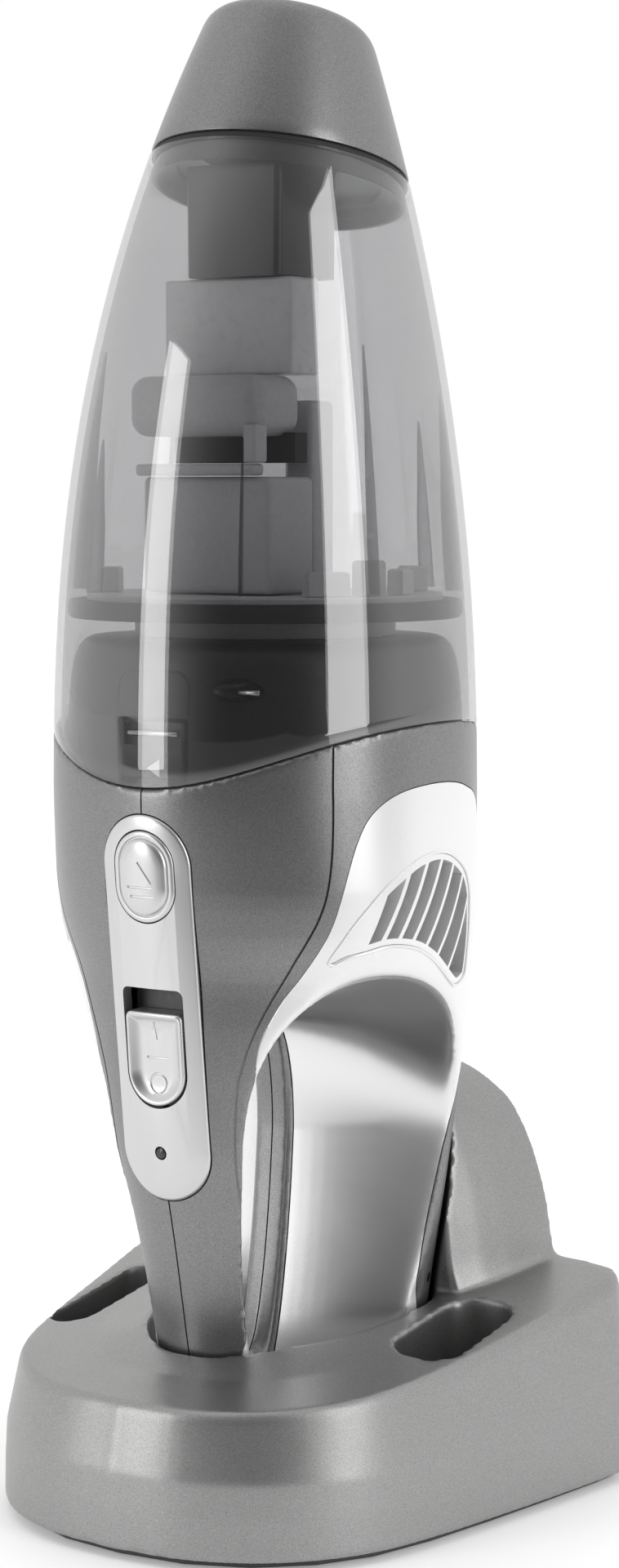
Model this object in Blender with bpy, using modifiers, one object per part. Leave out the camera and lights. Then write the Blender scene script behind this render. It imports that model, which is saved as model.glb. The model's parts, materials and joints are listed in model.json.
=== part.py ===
"""Cordless handheld vacuum standing nose-up in its charging base.

+Z is up, the control plate faces -Y and the mid-plane is x = 0. The origin is the centre
of the base's footprint on the floor. Lengths are given in millimetres and scaled by MM.
"""
import math

import bmesh
import bpy
import numpy as np
from mathutils import Matrix, Vector

MM = 0.001
GAP = 0.3                      # clearance between pieces that touch
WALL = 2.4                     # casing wall
CUP_WALL = 2.0
SIDES = 32                     # facets round the large shells

# Overall shape of the vacuum: radius and centre line of the cup and nozzle
BODY_R = 59.5
BODY_Y = 1.2                   # centre of the round sections
OGIVE_START = 200.0
OGIVE_DROP = 33.8
OGIVE_RISE = 206.4
OGIVE_POWER = 2.22
LEAN_START = 240.0
LEAN_SHIFT = 9.3
LEAN_RISE = 166.0
JOINT_Z = 374.0                # nozzle and cup meet on a plane that tips forward
JOINT_TILT = math.radians(12.2)
MOUTH_Z = 413.0
MOUTH_TILT = math.radians(16.0)

# Casing sections: height, front, widest point, half-width, nose power, back
CASING = (
    (14.5, -29.0, 27.0, 31.0, 0.95, 46.0),
    (20.0, -31.0, 27.0, 33.0, 0.95, 48.5),
    (50.0, -37.4, 27.0, 35.0, 0.95, 52.5),
    (77.0, -42.8, 26.0, 39.5, 0.97, 55.0),
    (92.0, -46.2, 24.0, 42.5, 0.97, 56.5),
    (106.0, -49.8, 21.0, 45.5, 0.98, 57.7),
    (126.0, -51.3, 14.0, 50.7, 1.00, 59.2),
    (140.0, -52.5, 8.0, 54.0, 1.06, 60.0),
    (154.0, -53.9, 4.0, 57.0, 1.16, 60.4),
    (167.0, -55.2, 2.0, 58.9, 1.05, 60.7),
    (180.0, -56.6, 1.2, 59.5, 1.00, 60.7),
)
CASING_FLOOR = CASING[0][0]

# Finger hole: a through hole along X that flares like a trumpet on both sides
HOLE_MID_Z = 105.0
HOLE_FRONT, HOLE_BACK = -25.0, 4.5
HOLE_TOP, HOLE_BOTTOM = 140.0, 42.0
HOLE_SQUARE = 0.85            # below 1 the hole is squarer than an ellipse
HOLE_LEAN = 0.07               # the rear flank comes forward lower down
STRIP = 6.0                    # half-width of the casing strip round the hole

# Control plate on the front
PLATE_HALF = 14.2
PLATE_Z = (92.7, 199.3)
BUTTON_HALF, BUTTON_Z = 9.6, (170.0, 195.0)
SWITCH_HALF, SWITCH_Z = 9.9, (118.8, 151.9)
SLIDER_HALF, SLIDER_Z = 9.2, (119.6, 148.0)
LED_Z = 106.3

# Stack inside the cup
SEPARATOR_Z, SEPARATOR_R = (253.8, 257.0), 50.0
SEAL_Z = (250.2, 253.5)
NECK_Z = (245.4, 253.5)
BULKHEAD_TOP = 245.0
BULKHEAD_R = 55.4

# Charging base
BASE_FRONT, BASE_BACK = -74.0, 74.0
SHELL_BOTTOM = 1.6
CREST_FRONT, CREST_RISE = 42.0, 15.0
WELL_CLEAR = 1.3
WELL_FLOOR = 14.0


# ---------------------------------------------------------------- scene helpers

def clear_scene():
    for item in list(bpy.data.objects):
        bpy.data.objects.remove(item, do_unlink=True)


def collection(name):
    made = bpy.data.collections.new(name)
    bpy.context.scene.collection.children.link(made)
    return made


def material(name, colour, roughness, metallic=0.0, alpha=1.0):
    made = bpy.data.materials.new(name)
    made.use_nodes = True
    shader = made.node_tree.nodes["Principled BSDF"]
    shader.inputs["Base Color"].default_value = (*colour, 1.0)
    shader.inputs["Roughness"].default_value = roughness
    shader.inputs["Metallic"].default_value = metallic
    shader.inputs["Alpha"].default_value = alpha
    made.diffuse_color = (*colour, alpha)
    return made


def new_object(name, mesh, finish=None):
    """A part when a finish is given, otherwise a hidden cutter."""
    obj = bpy.data.objects.new(name, mesh)
    if finish is None:
        CUTTERS.objects.link(obj)
        obj.hide_render = True
        obj.display_type = "WIRE"
    else:
        PARTS.objects.link(obj)
        mesh.materials.append(finish)
    return obj


def from_bmesh(name, bm, finish=None, smooth=True):
    bmesh.ops.recalc_face_normals(bm, faces=bm.faces)
    mesh = bpy.data.meshes.new(name)
    bm.to_mesh(mesh)
    bm.free()
    if smooth:
        mesh.shade_smooth()
        mesh.set_sharp_from_angle(angle=math.radians(35))
    return new_object(name, mesh, finish)


def boolean(obj, operation, cutter):
    step = obj.modifiers.new(operation.lower(), "BOOLEAN")
    step.operation = operation
    step.solver = "EXACT"
    step.object = cutter
    return obj


def cut(obj, *cutters):
    for cutter in cutters:
        boolean(obj, "DIFFERENCE", cutter)
    return obj


def keep(obj, cutter):
    return boolean(obj, "INTERSECT", cutter)


def join(obj, other):
    return boolean(obj, "UNION", other)


# ---------------------------------------------------------------- shape helpers

def loft(name, rings, finish=None):
    """A closed solid through rings of the same number of points, capped at both ends."""
    bm = bmesh.new()
    rows = [[bm.verts.new(Vector(p) * MM) for p in ring] for ring in rings]
    for low, high in zip(rows, rows[1:]):
        count = len(low)
        for i in range(count):
            j = (i + 1) % count
            bm.faces.new((low[i], low[j], high[j], high[i]))
    bm.faces.new(rows[0][::-1])
    bm.faces.new(rows[-1])
    bmesh.ops.triangulate(bm, faces=[f for f in bm.faces if len(f.verts) > 4])
    return from_bmesh(name, bm, finish)


def block(name, low, high, finish=None, bevel=0.0):
    """A box between two corners."""
    low, high = np.array(low, float), np.array(high, float)
    bm = bmesh.new()
    bmesh.ops.create_cube(bm, size=1.0)
    bmesh.ops.scale(bm, vec=(high - low) * MM, verts=bm.verts)
    obj = from_bmesh(name, bm, finish, smooth=False)
    obj.location = (low + high) / 2 * MM
    if bevel:
        edge = obj.modifiers.new("bevel", "BEVEL")
        edge.width = bevel * MM
        edge.segments = 2
    return obj


def rod(name, centre, radius, length, axis="Z", finish=None, sides=24, top_radius=None):
    """A cylinder or cone centred on a point."""
    bm = bmesh.new()
    end = radius if top_radius is None else top_radius
    bmesh.ops.create_cone(bm, cap_ends=True, segments=sides, radius1=radius * MM,
                          radius2=end * MM, depth=length * MM)
    obj = from_bmesh(name, bm, finish)
    obj.location = Vector(centre) * MM
    if axis == "X":
        obj.rotation_euler = (0, math.radians(90), 0)
    if axis == "Y":
        obj.rotation_euler = (math.radians(-90), 0, 0)
    return obj


def turned(name, profile, centre, finish=None, steps=SIDES):
    """A solid of revolution about Z: the profile lists radius and height, top to bottom."""
    bm = bmesh.new()
    points = [bm.verts.new((r * MM, 0, z * MM)) for r, z in profile]
    for a, b in zip(points, points[1:]):
        bm.edges.new((a, b))
    if profile[0][0] > 0:
        bm.edges.new((points[-1], points[0]))
    mesh = bpy.data.meshes.new(name)
    bm.to_mesh(mesh)
    bm.free()
    obj = new_object(name, mesh, finish)
    obj.location = (centre[0] * MM, centre[1] * MM, 0)
    screw = obj.modifiers.new("screw", "SCREW")
    screw.steps = screw.render_steps = steps
    screw.use_merge_vertices = True
    screw.merge_threshold = 0.00001
    screw.use_smooth_shade = False
    return obj


def prism(name, outline, axis, low, high):
    """A cutter: a flat outline of (a, b) pairs drawn out along X (YZ pairs) or Y (XZ pairs)."""
    def place(pair, along):
        if axis == "X":
            return (along, pair[0], pair[1])
        if axis == "Y":
            return (pair[0], along, pair[1])
        return (pair[0], pair[1], along)
    return loft(name, [[place(p, low) for p in outline], [place(p, high) for p in outline]])


def spring(name, centre, radius, wire, length, turns, axis, finish):
    """A helical compression spring."""
    rings = []
    count = int(turns * 7) + 1
    for i in range(count):
        angle = 2 * math.pi * turns * i / (count - 1)
        rise = length * (i / (count - 1) - 0.5)
        ring = []
        for k in range(4):
            out = radius + wire * math.cos(math.pi * k / 2)
            up = rise + wire * math.sin(math.pi * k / 2)
            ring.append((out * math.cos(angle), out * math.sin(angle), up))
        rings.append(ring)
    obj = loft(name, rings, finish)
    obj.location = Vector(centre) * MM
    if axis == "Y":
        obj.rotation_euler = (math.radians(-90), 0, 0)
    return obj


def hang_from(obj, point):
    """Moves a part's origin to a point, such as one on its joint's axis."""
    spot = Vector(point) * MM
    obj.data.transform(Matrix.Translation(obj.location - spot))
    obj.location = spot
    return obj


def stadium(half, low, high, corner=None, points=5):
    """An upright slot outline in (x, z) with round ends."""
    corner = half if corner is None else corner
    outline = []
    for cx, cz, start in ((half - corner, high - corner, 0), (corner - half, high - corner, 90),
                          (corner - half, low + corner, 180), (half - corner, low + corner, 270)):
        for k in range(points + 1):
            angle = math.radians(start + 90 * k / points)
            spot = (cx + corner * math.cos(angle), cz + corner * math.sin(angle))
            if not outline or math.dist(outline[-1], spot) > 1e-6:
                outline.append(spot)
    return outline[:-1] if math.dist(outline[0], outline[-1]) < 1e-6 else outline


def spline(points, steps):
    """A smooth curve (Catmull-Rom) through open points."""
    p = [np.array(q, float) for q in points]
    p = [2 * p[0] - p[1]] + p + [2 * p[-1] - p[-2]]
    line = []
    for a, b, c, d in zip(p, p[1:], p[2:], p[3:]):
        for k in range(steps):
            t = k / steps
            line.append(0.5 * (2 * b + (c - a) * t + (2 * a - 5 * b + 4 * c - d) * t * t
                               + (3 * b - a - 3 * c + d) * t ** 3))
    line.append(p[-2])
    return [tuple(float(v) for v in q) for q in line]


# ---------------------------------------------------------------- surfaces of the vacuum

def radius(z):
    return BODY_R - OGIVE_DROP * (max(z - OGIVE_START, 0.0) / OGIVE_RISE) ** OGIVE_POWER


def centre_y(z):
    return BODY_Y + LEAN_SHIFT * (max(z - LEAN_START, 0.0) / LEAN_RISE) ** 2.6


def cup_rim(phi):
    """Height of the wavy line between the cup and the casing; phi is 0 at the front."""
    return 214.7 - 8.3 * math.cos(2 * phi) + 1.9 * math.sin(2 * phi) ** 2


def round_ring(z0, tilt=0.0, inset=0.0, sides=SIDES):
    """Points of the ogive surface on a plane that tips by tilt, higher at the front."""
    ring = []
    for i in range(sides):
        phi = 2 * math.pi * i / sides
        z = z0
        for _ in range(6):
            y = centre_y(z) - (radius(z) - inset) * math.cos(phi)
            z = z0 - math.tan(tilt) * (y - centre_y(z0))
        ring.append(((radius(z) - inset) * math.sin(phi), y, z))
    return ring


def rim_ring(offset, inset, sides=SIDES):
    """Points of the ogive surface along the wavy cup rim."""
    ring = []
    for i in range(sides):
        phi = 2 * math.pi * i / sides
        z = cup_rim(phi) + offset
        ring.append(((radius(z) - inset) * math.sin(phi),
                     centre_y(z) - (radius(z) - inset) * math.cos(phi), z))
    return ring


def casing_section(z):
    rows = np.array(CASING)
    return [float(np.interp(z, rows[:, 0], rows[:, k])) for k in range(1, 6)]


def casing_ring(z, inset=0.0, sides=SIDES):
    front, widest, half, power, back = casing_section(z)
    ring = []
    for i in range(sides):
        t = 2 * math.pi * i / sides
        s, c = math.sin(t), math.cos(t)
        reach = widest - front if c > 0 else back - widest
        bend = power if c > 0 else 1.0
        x = (half - inset) * math.copysign(abs(s) ** bend, s)
        ring.append((x, widest - (reach - inset) * c, z))
    return ring


def casing_loft(name, inset, bottom, top=None, finish=None):
    """The casing's outer form without the hole, up to the cup rim or to a given height."""
    heights = [row[0] for row in CASING if row[0] > bottom + 1]
    rings = [casing_ring(bottom, inset)] + [casing_ring(z, inset) for z in heights]
    if top is None:
        rings.append(rim_ring(-GAP, inset))
        rings.append(rim_ring(-GAP, inset + 3.5))
    else:
        rings.append(round_ring(top, 0.0, inset))
    return loft(name, rings, finish)


def hole_ring(x, grow, points=20):
    """One upright slice of the flared finger hole at a distance x from the mid-plane."""
    s = abs(x)
    flare = max(s - 5, 0.0)
    front = HOLE_FRONT - 0.35 * s - 0.020 * s * s - grow
    near = min(flare, 40.0)
    back = HOLE_BACK + 1.3 * near - 0.015 * near * near + 0.1 * (flare - near) + grow
    top = HOLE_TOP + 0.15 * s + 0.003 * s * s + grow
    bottom = HOLE_BOTTOM - 1.2 * s - 0.02 * s * s - grow
    bend = HOLE_SQUARE + (1 - HOLE_SQUARE) * min(s / 40.0, 1.0)
    ring = []
    for i in range(points):
        a = 2 * math.pi * (i + 0.5) / points
        c, v = math.cos(a), math.sin(a)
        rise = top - HOLE_MID_Z if v > 0 else HOLE_MID_Z - bottom
        y = (front + back) / 2 + (back - front) / 2 * math.copysign(abs(c) ** bend, c)
        z = HOLE_MID_Z + rise * math.copysign(abs(v) ** bend, v)
        ring.append((x, y + HOLE_LEAN * min(z - HOLE_MID_Z, 0.0) * max(c, 0.0), z))
    return ring


def finger_hole(name, grow):
    stations = (-72, -46, -36, -26, -16, -6, 6, 16, 26, 36, 46, 72)
    return loft(name, [hole_ring(x, grow) for x in stations])


PANEL_EDGE = ((-27, 36.8), (-31, 67), (-36.5, 90), (-39.8, 110), (-41.4, 122), (-42.6, 132),
              (-42.4, 140), (-40.4, 148.5), (-37.7, 156), (-35.6, 164.1), (-34.2, 170.1),
              (-32.6, 180.2), (-29.7, 192.6), (-25.8, 199.8), (-18.5, 204.4), (-7.9, 206.3),
              (4, 206.2), (14, 204.2), (23.7, 200.4), (32, 190), (36.5, 170), (34.5, 148),
              (33.8, 130), (33.5, 112), (31.2, 95.6), (27.9, 75.4), (25.7, 60), (22.5, 36.8))
VENT_EDGE = ((-33.0, 159.6), (-30.5, 166.8), (-27.3, 172.4), (-21.5, 179.4), (-12.5, 185.2),
             (-6.4, 187.0), (-1.8, 187.3), (3.6, 186.2), (9.3, 183.5), (13.8, 180.2),
             (17.0, 175.4), (17.8, 171.0), (19.2, 159.2), (19.2, 152.2), (17.4, 150.2),
             (13.4, 149.3), (10.2, 150.4), (4.0, 154.4), (-1.1, 157.9), (-5.9, 160.6),
             (-10.4, 162.5), (-16.0, 163.6), (-20.6, 163.6), (-25.0, 162.5), (-29.7, 161.3))
VENT_BARS = ((-29.8, -18.2), (-26.8, -11.5), (-22.7, -5.3), (-18.4, 1.4), (-12.5, 8.8),
             (-5.5, 17.4), (4.2, 25.0))
VENT_BAR_HALF, VENT_FRAME = 0.65, 1.7


def grown(outline, amount):
    """The outline moved outward by an amount."""
    pts = [np.array(p, float) for p in outline]
    area = sum(a[0] * b[1] - b[0] * a[1] for a, b in zip(pts, pts[1:] + pts[:1]))
    turn = 1 if area > 0 else -1
    moved = []
    for i, p in enumerate(pts):
        along = pts[(i + 1) % len(pts)] - pts[i - 1]
        along /= np.linalg.norm(along)
        moved.append(tuple(p + turn * amount * np.array((along[1], -along[0]))))
    return moved


# ---------------------------------------------------------------- nozzle and cup

def nozzle_parts():
    outer = [(JOINT_Z + 1.1, JOINT_TILT, 0.0), (386, math.radians(13.3), 0.0),
             (400, math.radians(15.0), 0.0), (MOUTH_Z - 2.5, MOUTH_TILT, 0.2),
             (MOUTH_Z, MOUTH_TILT, 0.7), (MOUTH_Z + 2.0, MOUTH_TILT, 2.0)]
    nozzle = loft("nozzle", [round_ring(*row) for row in outer], SILVER)
    inner = [(JOINT_Z - 3, JOINT_TILT, 2.2), (386, math.radians(13.3), 2.2),
             (400, math.radians(15.0), 2.4), (MOUTH_Z + 6, MOUTH_TILT, 3.6)]
    cut(nozzle, loft("nozzle_bore", [round_ring(*row) for row in inner]))
    gasket = loft("nozzle_gasket", [round_ring(JOINT_Z - 1.4, JOINT_TILT, 0.5),
                                    round_ring(JOINT_Z + 0.8, JOINT_TILT, 0.5)], RUBBER)
    cut(gasket, loft("gasket_bore", [round_ring(JOINT_Z - 4, JOINT_TILT, 5.5),
                                     round_ring(JOINT_Z + 4, JOINT_TILT, 5.5)]))
    return nozzle, gasket


DUCT_X, DUCT_Y = (-15.5, 15.5), (-15.0, 14.0)
DUCT_Z = (343.5, 374.0)
FLAP_PIN = (10.4, 371.0)       # y and z of the flap's hinge


def inlet_duct():
    """Rectangular duct that hangs from a flange under the nozzle."""
    duct = loft("inlet_duct", [round_ring(JOINT_Z + 1.4, JOINT_TILT, 4.0),
                               round_ring(JOINT_Z + 3.4, JOINT_TILT, 4.4)], DARK_PLASTIC)
    join(duct, block("duct_tube", (DUCT_X[0], DUCT_Y[0], DUCT_Z[0]),
                     (DUCT_X[1], DUCT_Y[1], DUCT_Z[1] + 2.5)))
    cut(duct, block("duct_bore", (DUCT_X[0] + 1.8, DUCT_Y[0] + 1.8, DUCT_Z[0] - 5),
                    (DUCT_X[1] - 1.8, DUCT_Y[1] - 1.8, DUCT_Z[1] + 12)))
    flap = block("inlet_flap", (-13.3, -12.9, FLAP_PIN[1] - 1.1),
                 (13.3, FLAP_PIN[0], FLAP_PIN[1] + 0.4), RUBBER)
    join(flap, rod("flap_sleeve", (0, *FLAP_PIN), 1.4, 26.0, "X", None, 12))
    cut(flap, rod("sleeve_bore", (0, *FLAP_PIN), 0.9, 40, "X", None, 12))
    hang_from(flap, (0, *FLAP_PIN))
    rod("flap_pin", (0, *FLAP_PIN), 0.6, 26.8, "X", STEEL, 10)


def cup_heights(top_gap):
    return [(240, 0.0), (262, 0.0), (284, 0.0), (306, math.radians(2)),
            (326, math.radians(5)), (345, math.radians(8)), (362, math.radians(11)),
            (JOINT_Z - 1.7 + top_gap, JOINT_TILT)]


def dust_cup():
    rings = [rim_ring(0.1, 3.5), rim_ring(0.1, 0.0)]
    rings += [round_ring(z, tilt) for z, tilt in cup_heights(0)]
    cup = loft("dust_cup", rings, SMOKED)
    low = [rim_ring(-12, CUP_WALL)]
    bore = low + [round_ring(z, tilt, CUP_WALL) for z, tilt in cup_heights(6)]
    hollow = loft("cup_bore", bore)
    cut(cup, hollow)
    for k, angle in enumerate((27, 67, 113, 153, -27, -67, -113, -153)):
        join(cup, cup_rib(k, math.radians(angle)))
    return cup


def cup_rib(index, phi):
    """A thin upright rib on the cup's inner wall."""
    rings = []
    for z, depth in ((262, 5.0), (284, 4.0), (306, 2.6)):
        reach = radius(z) - CUP_WALL + 0.9
        ring = []
        for along, side in ((reach, -0.7), (reach, 0.7), (reach - depth, 0.5), (reach - depth, -0.5)):
            ring.append((along * math.sin(phi) + side * math.cos(phi),
                         centre_y(z) - along * math.cos(phi) + side * math.sin(phi), z))
        rings.append(ring)
    return loft(f"rib_{index}", rings)


# ---------------------------------------------------------------- separator and seals

def separator_parts():
    """Light grey filter tower: base disc, column, hood with its slot and the box above."""
    base = rod("separator_base", (0, BODY_Y, sum(SEPARATOR_Z) / 2), SEPARATOR_R,
               SEPARATOR_Z[1] - SEPARATOR_Z[0], "Z", GREY_PLASTIC, SIDES)
    cut(base, rod("base_passage", (0, BODY_Y, 255), 13, 20, "Z", None, 24))
    column = block("air_column", (-21, -28, SEPARATOR_Z[1] + GAP), (21, -6, 289),
                   GREY_PLASTIC, 1.5)
    cut(column, block("column_bore", (-19, -26, 240), (19, -8, 300)))
    lip = block("hood_lip", (-23.5, -31, 289 + GAP), (21, -25, 292.5), GREY_PLASTIC, 0.8)
    hood = block("separator_hood", (-23.5, -31, 300), (21, -5, 316.5), GREY_PLASTIC, 4.0)
    cut(hood, block("hood_bore", (-20.5, -28, 290), (18, -8, 313)))
    posts = block("hood_posts", (-20, -15, 291.5 + GAP + 1), (18, -12, 302))
    join(hood, posts)
    join(hood, block("hood_leg", (16, -31, 292.5 + GAP), (21, -25, 305)))
    box = block("deflector_box", (-22, -14, 316.5 + GAP), (22, 5, DUCT_Z[0] - GAP), CLEAR_GREY, 0.8)
    cut(box, block("deflector_bore", (-20.4, -12.4, 300), (20.4, 3.4, 341)))
    tower = block("rear_column", (9.5, -3.5, SEPARATOR_Z[1] + GAP), (19, 8, 310), GREY_PLASTIC, 1.5)
    return [base, column, lip, hood, box, tower]


def seal_parts():
    lip = SEPARATOR_R + GAP
    seal = turned("cup_seal", [(45, SEAL_Z[1]), (lip, SEAL_Z[1]), (lip, 255.2), (54.6, 255.2),
                               (55.4, 252.4), (54.4, SEAL_Z[0]), (45, SEAL_Z[0])],
                  (0, BODY_Y), RUBBER)
    neck = turned("filter_frame", [(33.5, NECK_Z[1]), (36.5, NECK_Z[1]), (36.5, NECK_Z[0]),
                                   (33.5, NECK_Z[0])], (0, BODY_Y), GREY_PLASTIC)
    rings = []
    pleats = 24
    for z in (238.0, 249.0):
        rings.append([((33 if i % 2 else 29.5) * math.sin(math.pi * i / pleats),
                       BODY_Y - (33 if i % 2 else 29.5) * math.cos(math.pi * i / pleats), z)
                      for i in range(2 * pleats)])
    pad = loft("pleated_filter", rings, PAPER)
    return [seal, neck, pad]


def bulkhead_parts():
    """Dark dome that carries the fan and closes the casing under the cup."""
    r = BULKHEAD_R
    profile = [(34.8, BULKHEAD_TOP), (49.0, BULKHEAD_TOP), (51.0, 243.5), (53.8, 236),
               (55.0, 226), (r, 216), (r, 207.3), (r - 2.4, 207.3), (r - 2.4, 216), (52.6, 226),
               (51.2, 234.8), (14, 234.8), (14, 237.2), (34.8, 237.2)]
    bulkhead = turned("motor_bulkhead", profile, (0, BODY_Y), DARK_METALLIC, 28)
    cut(bulkhead, prism("latch_window", stadium(11.6, 203.0, 233.5, 3.0, 4), "Y", -70, -40))
    return bulkhead


def latch_parts():
    latch = block("cup_latch", (-10.2, -53.2, 208.4), (10.2, -48.8, 224.0), DARK_PLASTIC, 0.8)
    cut(latch, block("latch_slot", (-7.5, -60, 219.6), (7.5, -50.8, 222.4)))
    pin = rod("latch_pin", (0, -52.1, 221.0), 0.9, 14.6, "X", STEEL, 12)
    coil = spring("latch_spring", (0, -45.8, 212), 2.6, 0.35, 5.0, 3, "Y", STEEL)
    return [latch, pin, coil]


# ---------------------------------------------------------------- motor and fan

def motor_parts():
    can = rod("motor_can", (0, BODY_Y, 181), 21.5, 46, "Z", STEEL, 32)
    cut(can, rod("motor_bore", (0, BODY_Y, 181), 2.4, 60, "Z", None, 16))
    shaft = rod("motor_shaft", (0, BODY_Y, 190), 2.0, 84, "Z", STEEL, 16)
    mount = turned("motor_mount", [(22.0, 207), (54.4, 207), (54.4, 203.5), (22.0, 203.5)],
                   (0, BODY_Y), DARK_PLASTIC, 24)
    fan = turned("fan_impeller", [(2.3, 231), (8, 231), (9, 222), (38.5, 217), (38.5, 215.4),
                                  (2.3, 215.4)], (0, BODY_Y), GREY_PLASTIC, 24)
    for k in range(9):
        join(fan, fan_blade(k, 2 * math.pi * k / 9))
    shroud = turned("fan_shroud", [(16, 233.6), (28, 233.6), (42.6, 226), (42.6, 210),
                                   (40.6, 210), (40.6, 224.6), (27.6, 231.4), (16, 231.4)],
                    (0, BODY_Y), DARK_PLASTIC, 24)
    return [can, shaft, mount, fan, shroud]


def fan_blade(index, phi):
    """A back-swept blade on the impeller disc."""
    rings = []
    for reach, sweep, height in ((11, 0.0, 228), (24, 0.25, 225.6), (36.5, 0.55, 221)):
        a = phi + sweep
        ring = []
        for side, z in ((-0.6, 216), (0.6, 216), (0.6, height), (-0.6, height)):
            ring.append((reach * math.cos(a) - side * math.sin(a),
                         BODY_Y + reach * math.sin(a) + side * math.cos(a), z))
        rings.append(ring)
    return loft(f"blade_{index}", rings)


# ---------------------------------------------------------------- casing, panels and grilles

def casing_shapes():
    """Cutters shared by the casing halves and what is let into them."""
    hole = finger_hole("hole_cut", 0.0)
    hollow = casing_loft("casing_hollow", WALL, CASING_FLOOR + WALL, 240)
    cut(hollow, finger_hole("hole_wall", WALL))
    return {
        "hole": hole,
        "hollow": hollow,
        "panel_right": prism("panel_region", PANEL_EDGE, "X", STRIP + GAP, 90),
        "panel_left": prism("panel_region_l", PANEL_EDGE, "X", -90, -STRIP - GAP),
        "panel_gap_right": prism("panel_gap", grown(PANEL_EDGE, GAP), "X", STRIP, 90),
        "panel_gap_left": prism("panel_gap_l", grown(PANEL_EDGE, GAP), "X", -90, -STRIP),
        "plate": prism("plate_region", stadium(PLATE_HALF, *PLATE_Z), "Y", -90, -41),
        "plate_gap": prism("plate_gap", stadium(PLATE_HALF + GAP, PLATE_Z[0] - GAP,
                                                PLATE_Z[1] + GAP), "Y", -90, -40.5),
    }


def casing_half(name, side, shapes):
    half = casing_loft(name, 0.0, CASING_FLOOR, None, SILVER)
    cut(half, shapes["hole"], shapes["hollow"])
    low, high = (0.15, 90) if side == "right" else (-90, -0.15)
    keep(half, block(f"half_{side}", (low, -90, 0), (high, 90, 260)))
    cut(half, shapes[f"panel_gap_{side}"], shapes["plate_gap"])
    cut(half, block(f"contact_slot_{side}", (5 if side == "right" else -11, 24, 5),
                    (11 if side == "right" else -5, 34, 30)))
    cut(half, rod(f"strap_hole_{side}", (36 if side == "right" else -36, 32.5, 60), 1.6, 12, "X",
                  None, 16))
    return half


def side_panel(side, shapes):
    sign = 1 if side == "right" else -1
    panel = casing_loft(f"side_panel_{side}", 0.0, CASING_FLOOR, None, WHITE_SATIN)
    low, high = sorted((sign * 20, sign * 90))
    cut(panel, prism(f"vent_hole_{side}", VENT_EDGE, "X", low, high))
    cut(panel, rod(f"screw_hole_{side}", (sign * 24, -15, 146), 3.4, 26, "Z", None, 16))
    cut(panel, shapes["hole"], shapes["hollow"])
    keep(panel, shapes[f"panel_{side}"])
    return panel


def vent_grille(side, shapes):
    """Crescent insert with slanted slats."""
    sign = 1 if side == "right" else -1
    grille = casing_loft(f"vent_grille_{side}", 0.0, CASING_FLOOR, None, WHITE_SATIN)
    cut(grille, shapes["hole"], shapes["hollow"])
    low, high = sorted((sign * 20, sign * 90))
    keep(grille, prism(f"vent_fill_{side}", grown(VENT_EDGE[1:], -GAP), "X", low, high))
    opening = grown(VENT_EDGE[1:], -VENT_FRAME)
    for k, slot in enumerate(vent_slots()):
        cutter = prism(f"vent_slot_{side}_{k}", slot, "X", low, high)
        keep(cutter, prism(f"vent_opening_{side}_{k}", opening, "X", low - 5, high + 5))
        cut(grille, cutter)
    return grille


def vent_slots():
    """Outlines between neighbouring slats, whose centre lines lean between two heights."""
    low, high = 145.0, 195.0
    lines = []
    for foot, head in VENT_BARS:
        lean = (head - foot) / 40
        lines.append((foot - 5 * lean, head + 5 * lean))
    lines = [(lines[0][0] - 14, lines[0][1] - 14)] + lines + [(lines[-1][0] + 18, lines[-1][1] + 18)]
    slots = []
    for left, right in zip(lines, lines[1:]):
        slots.append([(left[0] + VENT_BAR_HALF, low), (right[0] - VENT_BAR_HALF, low),
                      (right[1] - VENT_BAR_HALF, high), (left[1] + VENT_BAR_HALF, high)])
    return slots


def control_parts(shapes):
    plate = casing_loft("control_plate", 0.0, CASING_FLOOR, None, PLATE_SATIN)
    cut(plate, shapes["hollow"])
    keep(plate, shapes["plate"])
    cut(plate, prism("button_hole", stadium(BUTTON_HALF + GAP, BUTTON_Z[0] - GAP,
                                            BUTTON_Z[1] + GAP), "Y", -90, -30))
    cut(plate, prism("switch_hole", stadium(SWITCH_HALF, *SWITCH_Z, 5.0, 5), "Y", -90, -30))
    cut(plate, rod("led_hole", (0, -50, LED_Z), 1.9, 20, "Y", None, 16))
    button = casing_loft("release_button", -0.7, CASING_FLOOR, None, PLATE_SATIN)
    keep(button, prism("button_form", stadium(BUTTON_HALF, *BUTTON_Z), "Y", -90, -49.5))
    slider = casing_loft("power_switch", -0.9, CASING_FLOOR, None, PLATE_SATIN)
    keep(slider, prism("slider_form", stadium(SLIDER_HALF, *SLIDER_Z, 7.0, 5), "Y", -90, -47.2))
    led = rod("led_lens", (0, -48.6, LED_Z), 1.6, 3.0, "Y", LENS, 16)
    coil = spring("button_spring", (0, -45.7, 182.5), 4.0, 0.4, 6.2, 3, "Y", STEEL)
    module = block("switch_module", (-7.5, -44.2, 122), (7.5, -38.0, 148), DARK_PLASTIC, 0.8)
    board = block("control_board", (-10, -37.6, 108), (10, -36.0, 190), BOARD)
    seat = block("button_seat", (-8, -41.8, 176), (8, -39.2, 189), DARK_PLASTIC, 0.6)
    return [plate, button, slider, led, coil, module, board, seat]


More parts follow.
